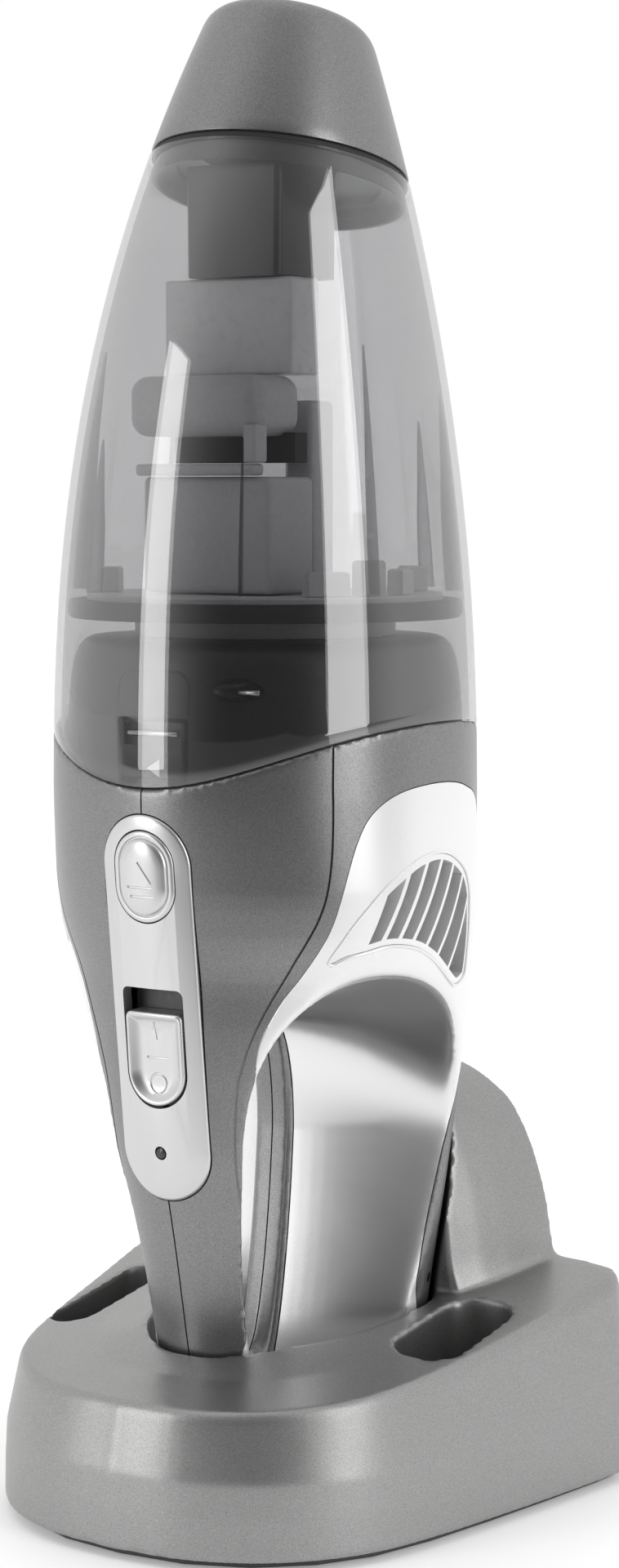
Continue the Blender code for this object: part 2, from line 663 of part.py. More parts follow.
def battery_parts():
    parts = []
    for k, x in enumerate((-19.0, 0.0, 19.0)):
        parts.append(rod(f"battery_cell_{k + 1}", (x, 36.0, 94), 8.8, 65, "Z", CELL_WRAP, 20))
    holder = block("battery_holder", (-25, 31, 57.5), (25, 40.5, 61.0), DARK_PLASTIC, 0.8)
    join(holder, block("holder_web_a", (-9.9, 33, 60), (-9.1, 39, 120)))
    join(holder, block("holder_web_b", (9.1, 33, 60), (9.9, 39, 120)))
    parts.append(holder)
    for side, x in (("left", -8.0), ("right", 8.0)):
        parts.append(block(f"charge_contact_{side}", (x - 2.5, 25, 15.2), (x + 2.5, 33, 16.0),
                           BRASS))
    return parts


def side_screws():
    parts = []
    for side, x in (("left", -24.0), ("right", 24.0)):
        screw = rod(f"side_screw_{side}", (x, -15, 148.6), 1.2, 8, "Z", STEEL, 12)
        join(screw, rod(f"screw_head_{side}", (x, -15, 145.2), 2.4, 1.6, "Z", None, 12))
        parts.append(screw)
    return parts


# ---------------------------------------------------------------- charging base

BASE_SIDE = ((0, BASE_FRONT), (21, -71.8), (39, -64.2), (53, -52), (62.5, -37), (69, -16),
             (74, 8), (78.5, 32), (82.5, 56), (83.4, 66), (80, 72.4), (74, BASE_BACK))
BELL = ((50, 40), (59.6, 56), (55.6, 62), (53.6, 70), (52, 77), (49.8, 85), (47.3, 92),
        (43.2, 100), (36.2, 108), (22.4, 115.5), (0, 119.3))


def base_outline(inset, stretch=1):
    """The base's plan outline; the back face stays on its plane."""
    side = spline(BASE_SIDE, stretch)
    factor = 1 - inset / 75.0
    half = [(x * factor, y * factor if y < 0 else y) for x, y in side]
    mirror = [(-x, y) for x, y in half[:0:-1]]
    return half + mirror


def crest(y):
    return CREST_FRONT + CREST_RISE * (max(y - BASE_FRONT, 0) / 130.0) ** 1.6


def base_rings(inset, drop, bottom):
    """Wall rings from the bottom edge up to the crest and over the top."""
    rings = [[(x, y, bottom) for x, y in base_outline(inset)]]
    rings.append([(x, y, 24) for x, y in base_outline(inset + 1.0)])
    rings.append([(x, y, crest(y) - 2.2 - drop) for x, y in base_outline(inset + 4.2)])
    rings.append([(x, y, crest(y) - drop) for x, y in base_outline(inset + 6.0)])
    rings.append([(x, y - drop * (y > 0), crest(y) + 1.6 - drop) for x, y in base_outline(inset + 26)])
    rings.append([(x * 0.9, y * 0.9, 52.5 - drop + 0.03 * y) for x, y in base_outline(inset + 42)])
    return rings


def slot_outline(x_mid, half, y_low, y_high, corner):
    return [(x_mid + x, y) for x, y in stadium(half, y_low, y_high, corner, 4)]


def dock_form(name, grow, bottom, top):
    rings = [casing_ring(z, -grow) for z in (20, 50, 77, 106, 126)]
    low = [(x, y, bottom) for x, y, _ in casing_ring(20, -grow)]
    return loft(name, [low] + [r for r in rings if bottom < r[0][2] < top], None)


def base_parts():
    shell = loft("base_shell", base_rings(0, 0, SHELL_BOTTOM), BASE_SILVER)
    arm = bell_arm()
    join(shell, arm)
    hollow = loft("base_hollow", base_rings(3.2, 3.0, -5))
    keep(hollow, block("hollow_reach", (-90, -90, -10), (90, BASE_BACK - 3, 80)))
    cut(hollow, dock_form("well_wall", WELL_CLEAR + 2.6, WELL_FLOOR - 2.6, 140))
    slots = {
        "right": slot_outline(54.2, 10.6, -6, 36.6, 9.0),
        "left": slot_outline(-57.0, 6.8, -21, 26, 6.7),
    }
    for side, outline in slots.items():
        cut(hollow, prism(f"slot_wall_{side}", grown(outline, 2.2), "Z", 10, 90))
    cut(shell, hollow, dock_form("well_cut", WELL_CLEAR, WELL_FLOOR, 140))
    for side, outline in slots.items():
        cut(shell, prism(f"slot_cut_{side}", outline, "Z", 13, 90))
    cut(shell, block("well_floor_gap", (-12, 22, 5), (12, 36, 20)))
    cut(shell, rod("jack_hole", (30, 74, 12), 4.3, 20, "Y", None, 20))
    return shell


def bell_arm():
    """Rear support: a bell-shaped plate whose wings reach forward round the vacuum's back."""
    outline = list(BELL) + [(-x, z) for x, z in BELL[-2::-1]]
    rings = []
    for y, factor in ((38.0, 0.86), (56.0, 0.93), (BASE_BACK, 1.0)):
        rings.append([(x * factor, y, z) for x, z in outline])
    arm = loft("arm_form", rings)
    cut(arm, dock_form("arm_clear", 1.8, 30, 140))
    return arm


def base_fittings():
    edge = [(x, min(y, BASE_BACK - 3.4)) for x, y in base_outline(4.4)]
    plate = loft("base_plate", [[(x, y, z) for x, y in edge] for z in (0.6, 2.7)], DARK_PLASTIC)
    parts = [plate]
    spots = ((48, -34), (-48, -34), (60, 56), (-60, 56))
    for k, (x, y) in enumerate(spots):
        cut(plate, rod(f"foot_pocket_{k}", (x, y, 0.6), 6.3, 2.2, "Z", None, 20))
        parts.append(rod(f"rubber_foot_{k + 1}", (x, y, 0.7), 6.0, 1.4, "Z", RUBBER, 20))
    carrier = block("contact_carrier", (-11.5, 22.5, 6.0), (11.5, 35.5, 9.0), DARK_PLASTIC, 0.5)
    parts.append(carrier)
    for side, x in (("left", -8.0), ("right", 8.0)):
        hole = rod(f"pin_hole_{side}", (x, 29, 7.5), 2.0, 8, "Z", None, 16)
        cut(carrier, hole)
        pin = rod(f"contact_pin_{side}", (x, 29, 10.6), 1.6, 8.4, "Z", BRASS, 16)
        parts.append(pin)
        parts.append(spring(f"contact_spring_{side}", (x, 29, 4.7), 1.4, 0.2, 3.0, 3, "Z", STEEL))
    jack = rod("charging_inlet", (30, 68.4, 12), 4.0, 11, "Y", DARK_PLASTIC, 20)
    cut(jack, rod("jack_bore", (30, 76, 12), 2.7, 16, "Y", None, 16))
    parts.append(jack)
    return parts


# ---------------------------------------------------------------- build

clear_scene()
PARTS = collection("handheld_vacuum")
CUTTERS = collection("cutters")
SILVER = material("silver_metallic", (0.36, 0.36, 0.37), 0.38, 0.75)
BASE_SILVER = material("base_silver", (0.38, 0.37, 0.37), 0.42, 0.6)
WHITE_SATIN = material("white_satin", (0.82, 0.82, 0.83), 0.3, 0.25)
PLATE_SATIN = material("plate_satin", (0.74, 0.74, 0.76), 0.3, 0.35)
SMOKED = material("smoked_clear", (0.45, 0.45, 0.46), 0.05, 0.0, 0.35)
CLEAR_GREY = material("clear_grey", (0.6, 0.6, 0.62), 0.2, 0.0, 0.6)
GREY_PLASTIC = material("grey_plastic", (0.55, 0.55, 0.56), 0.45)
DARK_PLASTIC = material("dark_plastic", (0.04, 0.04, 0.045), 0.4)
DARK_METALLIC = material("dark_metallic", (0.11, 0.11, 0.115), 0.35, 0.5)
RUBBER = material("black_rubber", (0.02, 0.02, 0.02), 0.7)
STEEL = material("steel", (0.6, 0.6, 0.62), 0.25, 1.0)
BRASS = material("brass", (0.7, 0.55, 0.25), 0.3, 1.0)
PAPER = material("filter_paper", (0.8, 0.8, 0.76), 0.9)
BOARD = material("circuit_board", (0.03, 0.18, 0.07), 0.5)
CELL_WRAP = material("cell_wrap", (0.05, 0.14, 0.4), 0.4)
LENS = material("led_lens_clear", (0.25, 0.05, 0.05), 0.1)

nozzle_parts()
inlet_duct()
dust_cup()
separator_parts()
seal_parts()
bulkhead_parts()
latch_parts()
motor_parts()
CUTS = casing_shapes()
for which in ("left", "right"):
    casing_half(f"body_{which}", which, CUTS)
    side_panel(which, CUTS)
    vent_grille(which, CUTS)
control_parts(CUTS)
battery_parts()
side_screws()
base_parts()
base_fittings()
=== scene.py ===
"""Cordless handheld vacuum standing nose-up in its charging base: looks, light and camera.

+Z is up, the control plate faces -Y and the mid-plane is x = 0. Lengths are in millimetres
and scaled by MM. Heights and radii repeat those of the CAD part that the frame holds.
"""

import json
import math

import bmesh
import bpy
import numpy as np
from mathutils import Matrix, Vector


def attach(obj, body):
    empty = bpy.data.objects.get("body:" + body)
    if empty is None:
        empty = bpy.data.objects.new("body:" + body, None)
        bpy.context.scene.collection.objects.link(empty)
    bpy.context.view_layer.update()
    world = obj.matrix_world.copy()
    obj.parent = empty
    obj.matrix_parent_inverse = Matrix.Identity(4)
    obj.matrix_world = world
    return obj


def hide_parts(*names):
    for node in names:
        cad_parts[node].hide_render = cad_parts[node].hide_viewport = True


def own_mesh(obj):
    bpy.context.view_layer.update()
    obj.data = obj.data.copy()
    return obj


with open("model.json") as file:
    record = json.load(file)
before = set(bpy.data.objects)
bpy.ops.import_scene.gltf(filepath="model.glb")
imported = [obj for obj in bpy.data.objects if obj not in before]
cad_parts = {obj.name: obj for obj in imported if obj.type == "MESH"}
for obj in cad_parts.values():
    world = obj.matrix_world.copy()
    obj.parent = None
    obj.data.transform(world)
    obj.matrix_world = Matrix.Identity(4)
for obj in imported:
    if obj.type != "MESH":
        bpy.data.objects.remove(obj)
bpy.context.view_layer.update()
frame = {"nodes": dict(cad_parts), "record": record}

MM = 0.001
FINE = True
SIDES = 192 if FINE else 96
VOXEL = 0.8 if FINE else 1.3            # remesh cell of the moulded shells
MOULDED_SHARP = 60                      # degrees at which a moulded shell keeps a crisp edge
SHRINK_REACH = 1.5
GAP = 0.3
SEAM = 0.22                             # half of the parting line down the middle
WALL = 2.4
CUP_WALL = 2.0

BODY_R, BODY_Y = 59.5, 1.2
OGIVE_START, OGIVE_DROP, OGIVE_RISE, OGIVE_POWER = 200.0, 33.8, 206.4, 2.22
LEAN_START, LEAN_SHIFT, LEAN_RISE, LEAN_POWER = 240.0, 9.3, 166.0, 2.6
JOINT_Z, JOINT_TILT = 374.0, math.radians(12.2)
MOUTH_Z, MOUTH_TILT = 413.0, math.radians(16.0)

# Rectangular duct below the nozzle: half-width, front and back of its outside and of its bore
DUCT_OUTSIDE = (15.5, -15.0, 14.0)
DUCT_BORE = (13.7, -13.2, 12.2)
DUCT_FOOT = 343.5

DISC_LOW, DISC_TOP = 253.9, 256.9       # the separator disc, which the tower stands on
TOWER_FOOT = DISC_TOP + 0.4
RIB_FOOT, RIB_TOP = 257.6, 322.0
BULKHEAD_TOP = 245.0

# Casing sections: height, front, widest point, half-width, nose power, back
CASING = np.array((
    (14.5, -29.0, 27.0, 31.0, 0.95, 46.0),
    (20.0, -31.0, 27.0, 33.0, 0.95, 48.5),
    (50.0, -37.4, 27.0, 35.0, 0.95, 52.5),
    (77.0, -42.8, 26.0, 39.5, 0.97, 55.0),
    (92.0, -46.2, 24.0, 42.5, 0.97, 56.5),
    (106.0, -49.8, 21.0, 45.5, 0.98, 57.7),
    (126.0, -51.3, 14.0, 50.7, 1.00, 59.2),
    (140.0, -52.5, 8.0, 54.0, 1.06, 60.0),
    (154.0, -53.9, 4.0, 57.0, 1.16, 60.4),
    (167.0, -55.2, 2.0, 58.9, 1.05, 60.7),
    (180.0, -56.6, 1.2, 59.5, 1.00, 60.7),
    (206.0, -58.3, 1.2, 59.5, 1.00, 60.7),
    (240.0, -58.3, 1.2, 59.5, 1.00, 60.7),
))
CASING_FLOOR = 14.5

HOLE_MID_Z = 105.0
HOLE_FRONT, HOLE_BACK = -25.0, 4.5
HOLE_TOP, HOLE_BOTTOM = 140.0, 42.0
HOLE_SQUARE = 0.85                      # below 1 the hole is squarer than an ellipse
HOLE_LEAN = 0.07                        # the rear flank comes forward lower down
STRIP = 6.0

PLATE_HALF, PLATE_Z = 14.2, (92.7, 199.3)
BUTTON_HALF, BUTTON_Z = 9.6, (170.0, 195.0)
SWITCH_HALF, SWITCH_Z = 9.9, (118.8, 151.9)
SLIDER_HALF, SLIDER_Z = 9.2, (119.6, 148.0)
LED_Z = 106.3

PANEL_EDGE = ((-27, 36.8), (-31, 67), (-36.5, 90), (-39.8, 110), (-41.4, 122), (-42.6, 132),
              (-42.4, 140), (-40.4, 148.5), (-37.7, 156), (-35.6, 164.1), (-34.2, 170.1),
              (-32.6, 180.2), (-29.7, 192.6), (-25.8, 199.8), (-18.5, 204.4), (-7.9, 206.3),
              (4, 206.2), (14, 204.2), (23.7, 200.4), (32, 190), (36.5, 170), (34.5, 148),
              (33.8, 130), (33.5, 112), (31.2, 95.6), (27.9, 75.4), (25.7, 60), (22.5, 36.8))
VENT_EDGE = ((-33.0, 159.6), (-30.5, 166.8), (-27.3, 172.4), (-21.5, 179.4), (-12.5, 185.2),
             (-6.4, 187.0), (-1.8, 187.3), (3.6, 186.2), (9.3, 183.5), (13.8, 180.2),
             (17.0, 175.4), (17.8, 171.0), (19.2, 159.2), (19.2, 152.2), (17.4, 150.2),
             (13.4, 149.3), (10.2, 150.4), (4.0, 154.4), (-1.1, 157.9), (-5.9, 160.6),
             (-10.4, 162.5), (-16.0, 163.6), (-20.6, 163.6), (-25.0, 162.5), (-29.7, 161.3))
VENT_BARS = ((-29.8, -18.2), (-26.8, -11.5), (-22.7, -5.3), (-18.4, 1.4), (-12.5, 8.8),
             (-5.5, 17.4), (4.2, 25.0))
VENT_BAR_HALF, VENT_FRAME = 0.65, 1.7
GROOVE = ((46.6, 219), (46.5, 208), (46.5, 199.2), (46.1, 188.3), (45.0, 178.4), (43.0, 171.7),
          (40.0, 165.4), (37.0, 160.3), (33.3, 153.9), (30.5, 148.8), (27.4, 142.3),
          (24.9, 136.2), (23.1, 130.5), (21.9, 125.8), (20.4, 113.9), (19.4, 99.8),
          (18.7, 86.6), (18.4, 74.5), (18.4, 64.8), (18.4, 56.3), (18.3, 45), (18.0, 30))


# ---------------------------------------------------------------- meshes

def finish_mesh(name, mesh, sharp=32):
    mesh.shade_smooth()
    mesh.set_sharp_from_angle(angle=math.radians(sharp))
    obj = bpy.data.objects.new(name, mesh)
    bpy.context.scene.collection.objects.link(obj)
    return obj


def from_bmesh(name, bm, sharp=32):
    bmesh.ops.recalc_face_normals(bm, faces=bm.faces)
    mesh = bpy.data.meshes.new(name)
    bm.to_mesh(mesh)
    bm.free()
    return finish_mesh(name, mesh, sharp)


def loft(name, rings, sharp=32, closed=False):
    """A surface through rings of the same number of points, capped unless it closes on itself."""
    bm = bmesh.new()
    rows = [[bm.verts.new(Vector(p) * MM) for p in ring] for ring in rings]
    pairs = list(zip(rows, rows[1:])) + ([(rows[-1], rows[0])] if closed else [])
    for low, high in pairs:
        count = len(low)
        for i in range(count):
            j = (i + 1) % count
            bm.faces.new((low[i], low[j], high[j], high[i]))
    if not closed:
        bm.faces.new(rows[0][::-1])
        bm.faces.new(rows[-1])
    return from_bmesh(name, bm, sharp)


def evaluated(obj, sharp=32):
    """The object with its modifiers applied, in place of the old one."""
    graph = bpy.context.evaluated_depsgraph_get()
    mesh = bpy.data.meshes.new_from_object(obj.evaluated_get(graph))
    mesh.transform(obj.matrix_world)
    name = obj.name
    bpy.data.objects.remove(obj)
    mesh.name = name
    made = finish_mesh(name, mesh, sharp)
    made.name = name
    return made


def drop(*objs):
    for obj in objs:
        bpy.data.objects.remove(obj)


def boolean(obj, operation, *cutters, sharp=32):
    for cutter in cutters:
        step = obj.modifiers.new("step", "BOOLEAN")
        step.operation = operation
        step.solver = "EXACT"
        step.object = cutter
    return evaluated(obj, sharp=sharp)


def cut(obj, *cutters, sharp=32):
    return boolean(obj, "DIFFERENCE", *cutters, sharp=sharp)


def carve(obj, *cutters, sharp=32):
    """Cuts with tools that are not needed again."""
    obj = cut(obj, *cutters, sharp=sharp)
    drop(*cutters)
    return obj


def keep(obj, *cutters, sharp=32):
    return boolean(obj, "INTERSECT", *cutters, sharp=sharp)


def moulded(obj, voxel, smooth):
    """Remeshed and smoothed, so that every edge gets a small moulded radius."""
    mesh = obj.modifiers.new("remesh", "REMESH")
    mesh.mode = "VOXEL"
    mesh.voxel_size = voxel * MM
    soft = obj.modifiers.new("soft", "SMOOTH")
    soft.factor = 0.5
    soft.iterations = smooth
    return evaluated(obj, MOULDED_SHARP)


def softened(obj, weight, rounds):
    """More smoothing where weight says so, for the broad fillets of a moulding."""
    group = obj.vertex_groups.new(name="soft")
    for vert in obj.data.vertices:
        share = weight(*(vert.co / MM))
        if share > 0:
            group.add([vert.index], min(share, 1.0), "REPLACE")
    soft = obj.modifiers.new("soft", "SMOOTH")
    soft.factor, soft.iterations, soft.vertex_group = 0.5, rounds, "soft"
    made = evaluated(obj, MOULDED_SHARP)
    made.vertex_groups.clear()
    return made


def copy_of(obj, name):
    made = bpy.data.objects.new(name, obj.data.copy())
    bpy.context.scene.collection.objects.link(made)
    return made


def mirrored(obj, name):
    """The same piece on the other side of the mid-plane."""
    made = copy_of(obj, name)
    made.data.transform(Matrix.Scale(-1, 4, (1, 0, 0)))
    made.data.flip_normals()
    return made


def block(name, low, high, bevel=0.0, segments=3):
    low, high = np.array(low, float), np.array(high, float)
    bm = bmesh.new()
    bmesh.ops.create_cube(bm, size=1.0)
    bmesh.ops.scale(bm, vec=(high - low) * MM, verts=bm.verts)
    bmesh.ops.translate(bm, vec=(low + high) / 2 * MM, verts=bm.verts)
    if bevel:
        bmesh.ops.bevel(bm, geom=bm.edges[:], offset=bevel * MM, segments=segments,
                        profile=0.5, affect="EDGES", clamp_overlap=True)
    return from_bmesh(name, bm)


def rod(name, centre, radius, length, axis="Z", sides=48, bevel=0.0):
    half = length / 2
    steps = [(radius, -half), (radius, half)]
    if bevel:
        corner = [(radius, half - bevel), (radius - bevel * 0.3, half - bevel * 0.3),
                  (radius - bevel, half)]
        steps = [(r, -along) for r, along in corner[::-1]] + corner
    rings = []
    for r, along in steps:
        ring = []
        for k in range(sides):
            a = 2 * math.pi * k / sides
            u, v = r * math.cos(a), r * math.sin(a)
            spot = {"Z": (u, v, along), "Y": (u, along, v), "X": (along, u, v)}[axis]
            ring.append(tuple(c + s for c, s in zip(centre, spot)))
        rings.append(ring)
    return loft(name, rings)


def around(r, phi, z=0.0, middle=BODY_Y, side=0.0):
    """A point at radius r and angle phi round the upright axis, with phi = 0 at the front."""
    return (r * math.sin(phi) + side * math.cos(phi), middle - r * math.cos(phi) + side * math.sin(phi), z)


def turned(name, profile, sharp=32):
    """A ring of revolution about the body's axis through a closed profile of radius and height."""
    rings = [[around(r, 2 * math.pi * k / SIDES, z) for k in range(SIDES)] for r, z in profile]
    return loft(name, rings, sharp, closed=True)


def prism(name, outline, axis, low, high):
    def place(pair, along):
        if axis == "X":
            return (along, pair[0], pair[1])
        if axis == "Y":
            return (pair[0], along, pair[1])
        return (pair[0], pair[1], along)
    return loft(name, [[place(p, low) for p in outline], [place(p, high) for p in outline]])


def spline(points, steps, closed=False):
    """A smooth curve (Catmull-Rom) through points."""
    p = [np.array(q, float) for q in points]
    p = [p[-1]] + p + [p[0], p[1]] if closed else [2 * p[0] - p[1]] + p + [2 * p[-1] - p[-2]]
    line = []
    for a, b, c, d in zip(p, p[1:], p[2:], p[3:]):
        for k in range(steps):
            t = k / steps
            line.append(0.5 * (2 * b + (c - a) * t + (2 * a - 5 * b + 4 * c - d) * t * t
                               + (3 * b - a - 3 * c + d) * t ** 3))
    if not closed:
        line.append(p[-2])
    return [tuple(float(v) for v in q) for q in line]


def grown(outline, amount):
    """A closed outline moved outward."""
    pts = np.array(outline, float)
    along = np.roll(pts, -1, 0) - np.roll(pts, 1, 0)
    along /= np.linalg.norm(along, axis=1)[:, None]
    normals = np.stack((along[:, 1], -along[:, 0]), 1)
    area = np.sum(pts[:, 0] * np.roll(pts[:, 1], -1) - np.roll(pts[:, 0], -1) * pts[:, 1])
    return [tuple(p) for p in pts + normals * (amount if area > 0 else -amount)]


def stadium(half, low, high, corner=None, points=16):
    """An upright slot outline in (x, z) with round corners."""
    corner = half if corner is None else corner
    outline = []
    for cx, cz, start in ((half - corner, high - corner, 0), (corner - half, high - corner, 90),
                          (corner - half, low + corner, 180), (half - corner, low + corner, 270)):
        for k in range(points + 1):
            angle = math.radians(start + 90 * k / points)
            spot = (cx + corner * math.cos(angle), cz + corner * math.sin(angle))
            if not outline or math.dist(outline[-1], spot) > 1e-6:
                outline.append(spot)
    return outline[:-1] if math.dist(outline[0], outline[-1]) < 1e-6 else outline


def swept(name, path, normals, section):
    """A closed strip: a section of (side, up) pairs carried along a path of surface points."""
    path, normals = np.array(path, float), np.array(normals, float)
    along = np.gradient(path, axis=0)
    along /= np.linalg.norm(along, axis=1)[:, None]
    side = np.cross(normals, along)
    side /= np.linalg.norm(side, axis=1)[:, None]
    rings = [[tuple(p + s * u + n * v) for u, v in section]
             for p, n, s in zip(path, normals, side)]
    return loft(name, rings)


def tube_section(radius, lift=0.0, sides=8):
    angles = [2 * math.pi * k / sides for k in range(sides)]
    return [(radius * math.cos(a), lift + radius * math.sin(a)) for a in angles]


def box_section(half, top, bottom):
    return [(-half, bottom), (half, bottom), (half, top), (-half, top)]


# ---------------------------------------------------------------- surfaces of the vacuum

def radius(z):
    return BODY_R - OGIVE_DROP * (max(z - OGIVE_START, 0.0) / OGIVE_RISE) ** OGIVE_POWER


def centre_y(z):
    return BODY_Y + LEAN_SHIFT * (max(z - LEAN_START, 0.0) / LEAN_RISE) ** LEAN_POWER


def cup_rim(phi):
    return 214.7 - 8.3 * math.cos(2 * phi) + 1.9 * math.sin(2 * phi) ** 2


def round_ring(z0, tilt=0.0, inset=0.0):
    """Points of the ogive surface on a plane that tips by tilt, higher at the front."""
    ring = []
    for i in range(SIDES):
        phi = 2 * math.pi * i / SIDES
        z = z0
        for _ in range(6):
            y = centre_y(z) - (radius(z) - inset) * math.cos(phi)
            z = z0 - math.tan(tilt) * (y - centre_y(z0))
        ring.append(((radius(z) - inset) * math.sin(phi), y, z))
    return ring


def ogive_point(phi, z, inset):
    return around(radius(z) - inset, phi, z, centre_y(z))


def rim_ring(offset, inset):
    """Points of the ogive surface along the wavy cup rim."""
    angles = [2 * math.pi * i / SIDES for i in range(SIDES)]
    return [ogive_point(phi, cup_rim(phi) + offset, inset) for phi in angles]


def casing_table():
    """Slopes for a smooth curve through the casing sections, column by column."""
    z, v = CASING[:, 0], CASING[:, 1:]
    step = np.diff(v, axis=0) / np.diff(z)[:, None]
    slope = np.zeros_like(v)
    slope[0], slope[-1] = step[0], step[-1]
    for k in range(1, len(z) - 1):
        a, b = step[k - 1], step[k]
        mean = np.where(a * b > 0, 2 * a * b / np.where(a + b == 0, 1, a + b), 0)
        slope[k] = mean
    return z, v, slope


TABLE = casing_table()


def casing_section(z):
    heights, values, slope = TABLE
    z = min(max(z, heights[0]), heights[-1])
    k = min(int(np.searchsorted(heights, z, side="right")) - 1, len(heights) - 2)
    h = heights[k + 1] - heights[k]
    t = (z - heights[k]) / h
    return ((2 * t ** 3 - 3 * t * t + 1) * values[k] + (t ** 3 - 2 * t * t + t) * h * slope[k]
            + (3 * t * t - 2 * t ** 3) * values[k + 1] + (t ** 3 - t * t) * h * slope[k + 1])


def casing_ring(z, inset=0.0):
    front, widest, half, power, back = casing_section(z)
    ring = []
    for i in range(SIDES):
        t = 2 * math.pi * i / SIDES
        s, c = math.sin(t), math.cos(t)
        reach = widest - front if c > 0 else back - widest
        bend = power if c > 0 else 1.0
        x = (half - inset) * math.copysign(abs(s) ** bend, s)
        ring.append((x, widest - (reach - inset) * c, z))
    return ring


def raised(spot, u, v, lift):
    """The surface point that spot gives for (u, v), raised by lift, and its outward normal."""
    p = spot(u, v)
    n = np.cross(spot(u + 0.2, v) - spot(u - 0.2, v), spot(u, v + 0.2) - spot(u, v - 0.2))
    n /= np.linalg.norm(n)
    return p + n * lift, n


def front_point(x, z, lift=0.0):
    """A point on the casing's front, over (x, z), and its outward normal."""
    def spot(px, pz):
        front, widest, half, power = casing_section(pz)[:4]
        s = min(abs(px) / half, 0.9999) ** (1 / power)
        return np.array((px, widest - (widest - front) * math.sqrt(1 - s * s), pz))
    return raised(spot, x, z, lift)


def side_point(y, z, lift=0.0):
    """A point on the casing's +X side, over (y, z), and its outward normal."""
    def spot(py, pz):
        front, widest, half, power, back = casing_section(pz)
        ahead = py < widest
        c = (widest - py) / ((widest - front) if ahead else (back - widest))
        s = math.sqrt(max(1 - c * c, 1e-6))
        return np.array((half * s ** (power if ahead else 1.0), py, pz))
    return raised(spot, y, z, lift)


def casing_loft(name, inset, bottom, top=None):
    heights = np.arange(bottom, 204.5, 4.0)
    rings = [casing_ring(z, inset) for z in heights]
    if top is None:
        rings.append(rim_ring(-GAP, inset))
        rings.append(rim_ring(-GAP, inset + 3.5))
    else:
        rings.append(round_ring(top, 0.0, inset))
    return loft(name, rings)


def hole_ring(x, grow, points):
    """One upright slice of the flared finger hole at a distance x from the mid-plane."""
    s = abs(x)
    flare = max(s - 5, 0.0)
    front = HOLE_FRONT - 0.35 * s - 0.020 * s * s - grow
    near = min(flare, 40.0)
    back = HOLE_BACK + 1.3 * near - 0.015 * near * near + 0.1 * (flare - near) + grow
    top = HOLE_TOP + 0.15 * s + 0.003 * s * s + grow
    bottom = HOLE_BOTTOM - 1.2 * s - 0.02 * s * s - grow
    bend = HOLE_SQUARE + (1 - HOLE_SQUARE) * min(s / 40.0, 1.0)
    ring = []
    for i in range(points):
        a = 2 * math.pi * i / points
        c, v = math.cos(a), math.sin(a)
        rise = top - HOLE_MID_Z if v > 0 else HOLE_MID_Z - bottom
        y = (front + back) / 2 + (back - front) / 2 * math.copysign(abs(c) ** bend, c)
        z = HOLE_MID_Z + rise * math.copysign(abs(v) ** bend, v)
        ring.append((x, y + HOLE_LEAN * min(z - HOLE_MID_Z, 0.0) * max(c, 0.0), z))
    return ring


def finger_hole(name, grow):
    stations = np.linspace(-70, 70, 57)
    return loft(name, [hole_ring(x, grow, 120 if FINE else 72) for x in stations])


def scoop_weight(x, y, z):
    """One where the scoop's ceiling and flank turn into the outer side, none at the lip."""
    outward = min(max((abs(x) - 24) / 10, 0), 1)
    back = min(max((y + 36) / 12, 0), 1)
    below = min(max((166 - z) / 8, 0), 1)
    return outward * back * below


# ---------------------------------------------------------------- materials

def shader(name, colour, roughness, metallic=0.0):
    made = bpy.data.materials.new(name)
    made.use_nodes = True
    nodes = made.node_tree.nodes
    main = nodes["Principled BSDF"]
    main.inputs["Base Color"].default_value = (*colour, 1.0)
    main.inputs["Roughness"].default_value = roughness
    main.inputs["Metallic"].default_value = metallic
    return made, nodes, made.node_tree.links, main


def noise(nodes, links, scale, detail=2.0):
    place = nodes.new("ShaderNodeTexCoord")
    made = nodes.new("ShaderNodeTexNoise")
    made.inputs["Scale"].default_value = scale
    made.inputs["Detail"].default_value = detail
    links.new(place.outputs["Object"], made.inputs["Vector"])
    return made.outputs["Fac"]


def tint(nodes, links, source, dark, light):
    """A colour ramp from dark to light over a noise."""
    ramp = nodes.new("ShaderNodeValToRGB")
    for stop, position, colour in zip(ramp.color_ramp.elements, (0.35, 0.65), (dark, light)):
        stop.position, stop.color = position, (*colour, 1.0)
    links.new(source, ramp.inputs["Fac"])
    return ramp.outputs["Color"]


def mapped(nodes, links, source, limits, curve="LINEAR"):
    made = nodes.new("ShaderNodeMapRange")
    made.interpolation_type = curve
    for key, value in zip(("From Min", "From Max", "To Min", "To Max"), limits):
        made.inputs[key].default_value = value
    links.new(source, made.inputs["Value"])
    return made.outputs["Result"]


def spread(nodes, links, source, low, high):
    """A noise stretched to run from low to high."""
    return mapped(nodes, links, source, (0.3, 0.7, low, high))


def shades(colour, darker, lighter):
    return tuple(c * (1 - darker) for c in colour), tuple(min(c * (1 + lighter), 1.0) for c in colour)


def varied(nodes, links, main, sources, tones, gloss):
    """Colour between two tones over one noise, and roughness about its mean over another."""
    rough, swing = gloss
    links.new(tint(nodes, links, sources[0], *tones), main.inputs["Base Color"])
    links.new(spread(nodes, links, sources[1], rough - swing, rough + swing), main.inputs["Roughness"])


def bumpy(nodes, links, main, source, strength, distance):
    made = nodes.new("ShaderNodeBump")
    made.inputs["Strength"].default_value = strength
    made.inputs["Distance"].default_value = distance * MM
    links.new(source, made.inputs["Height"])
    links.new(made.outputs["Normal"], main.inputs["Normal"])


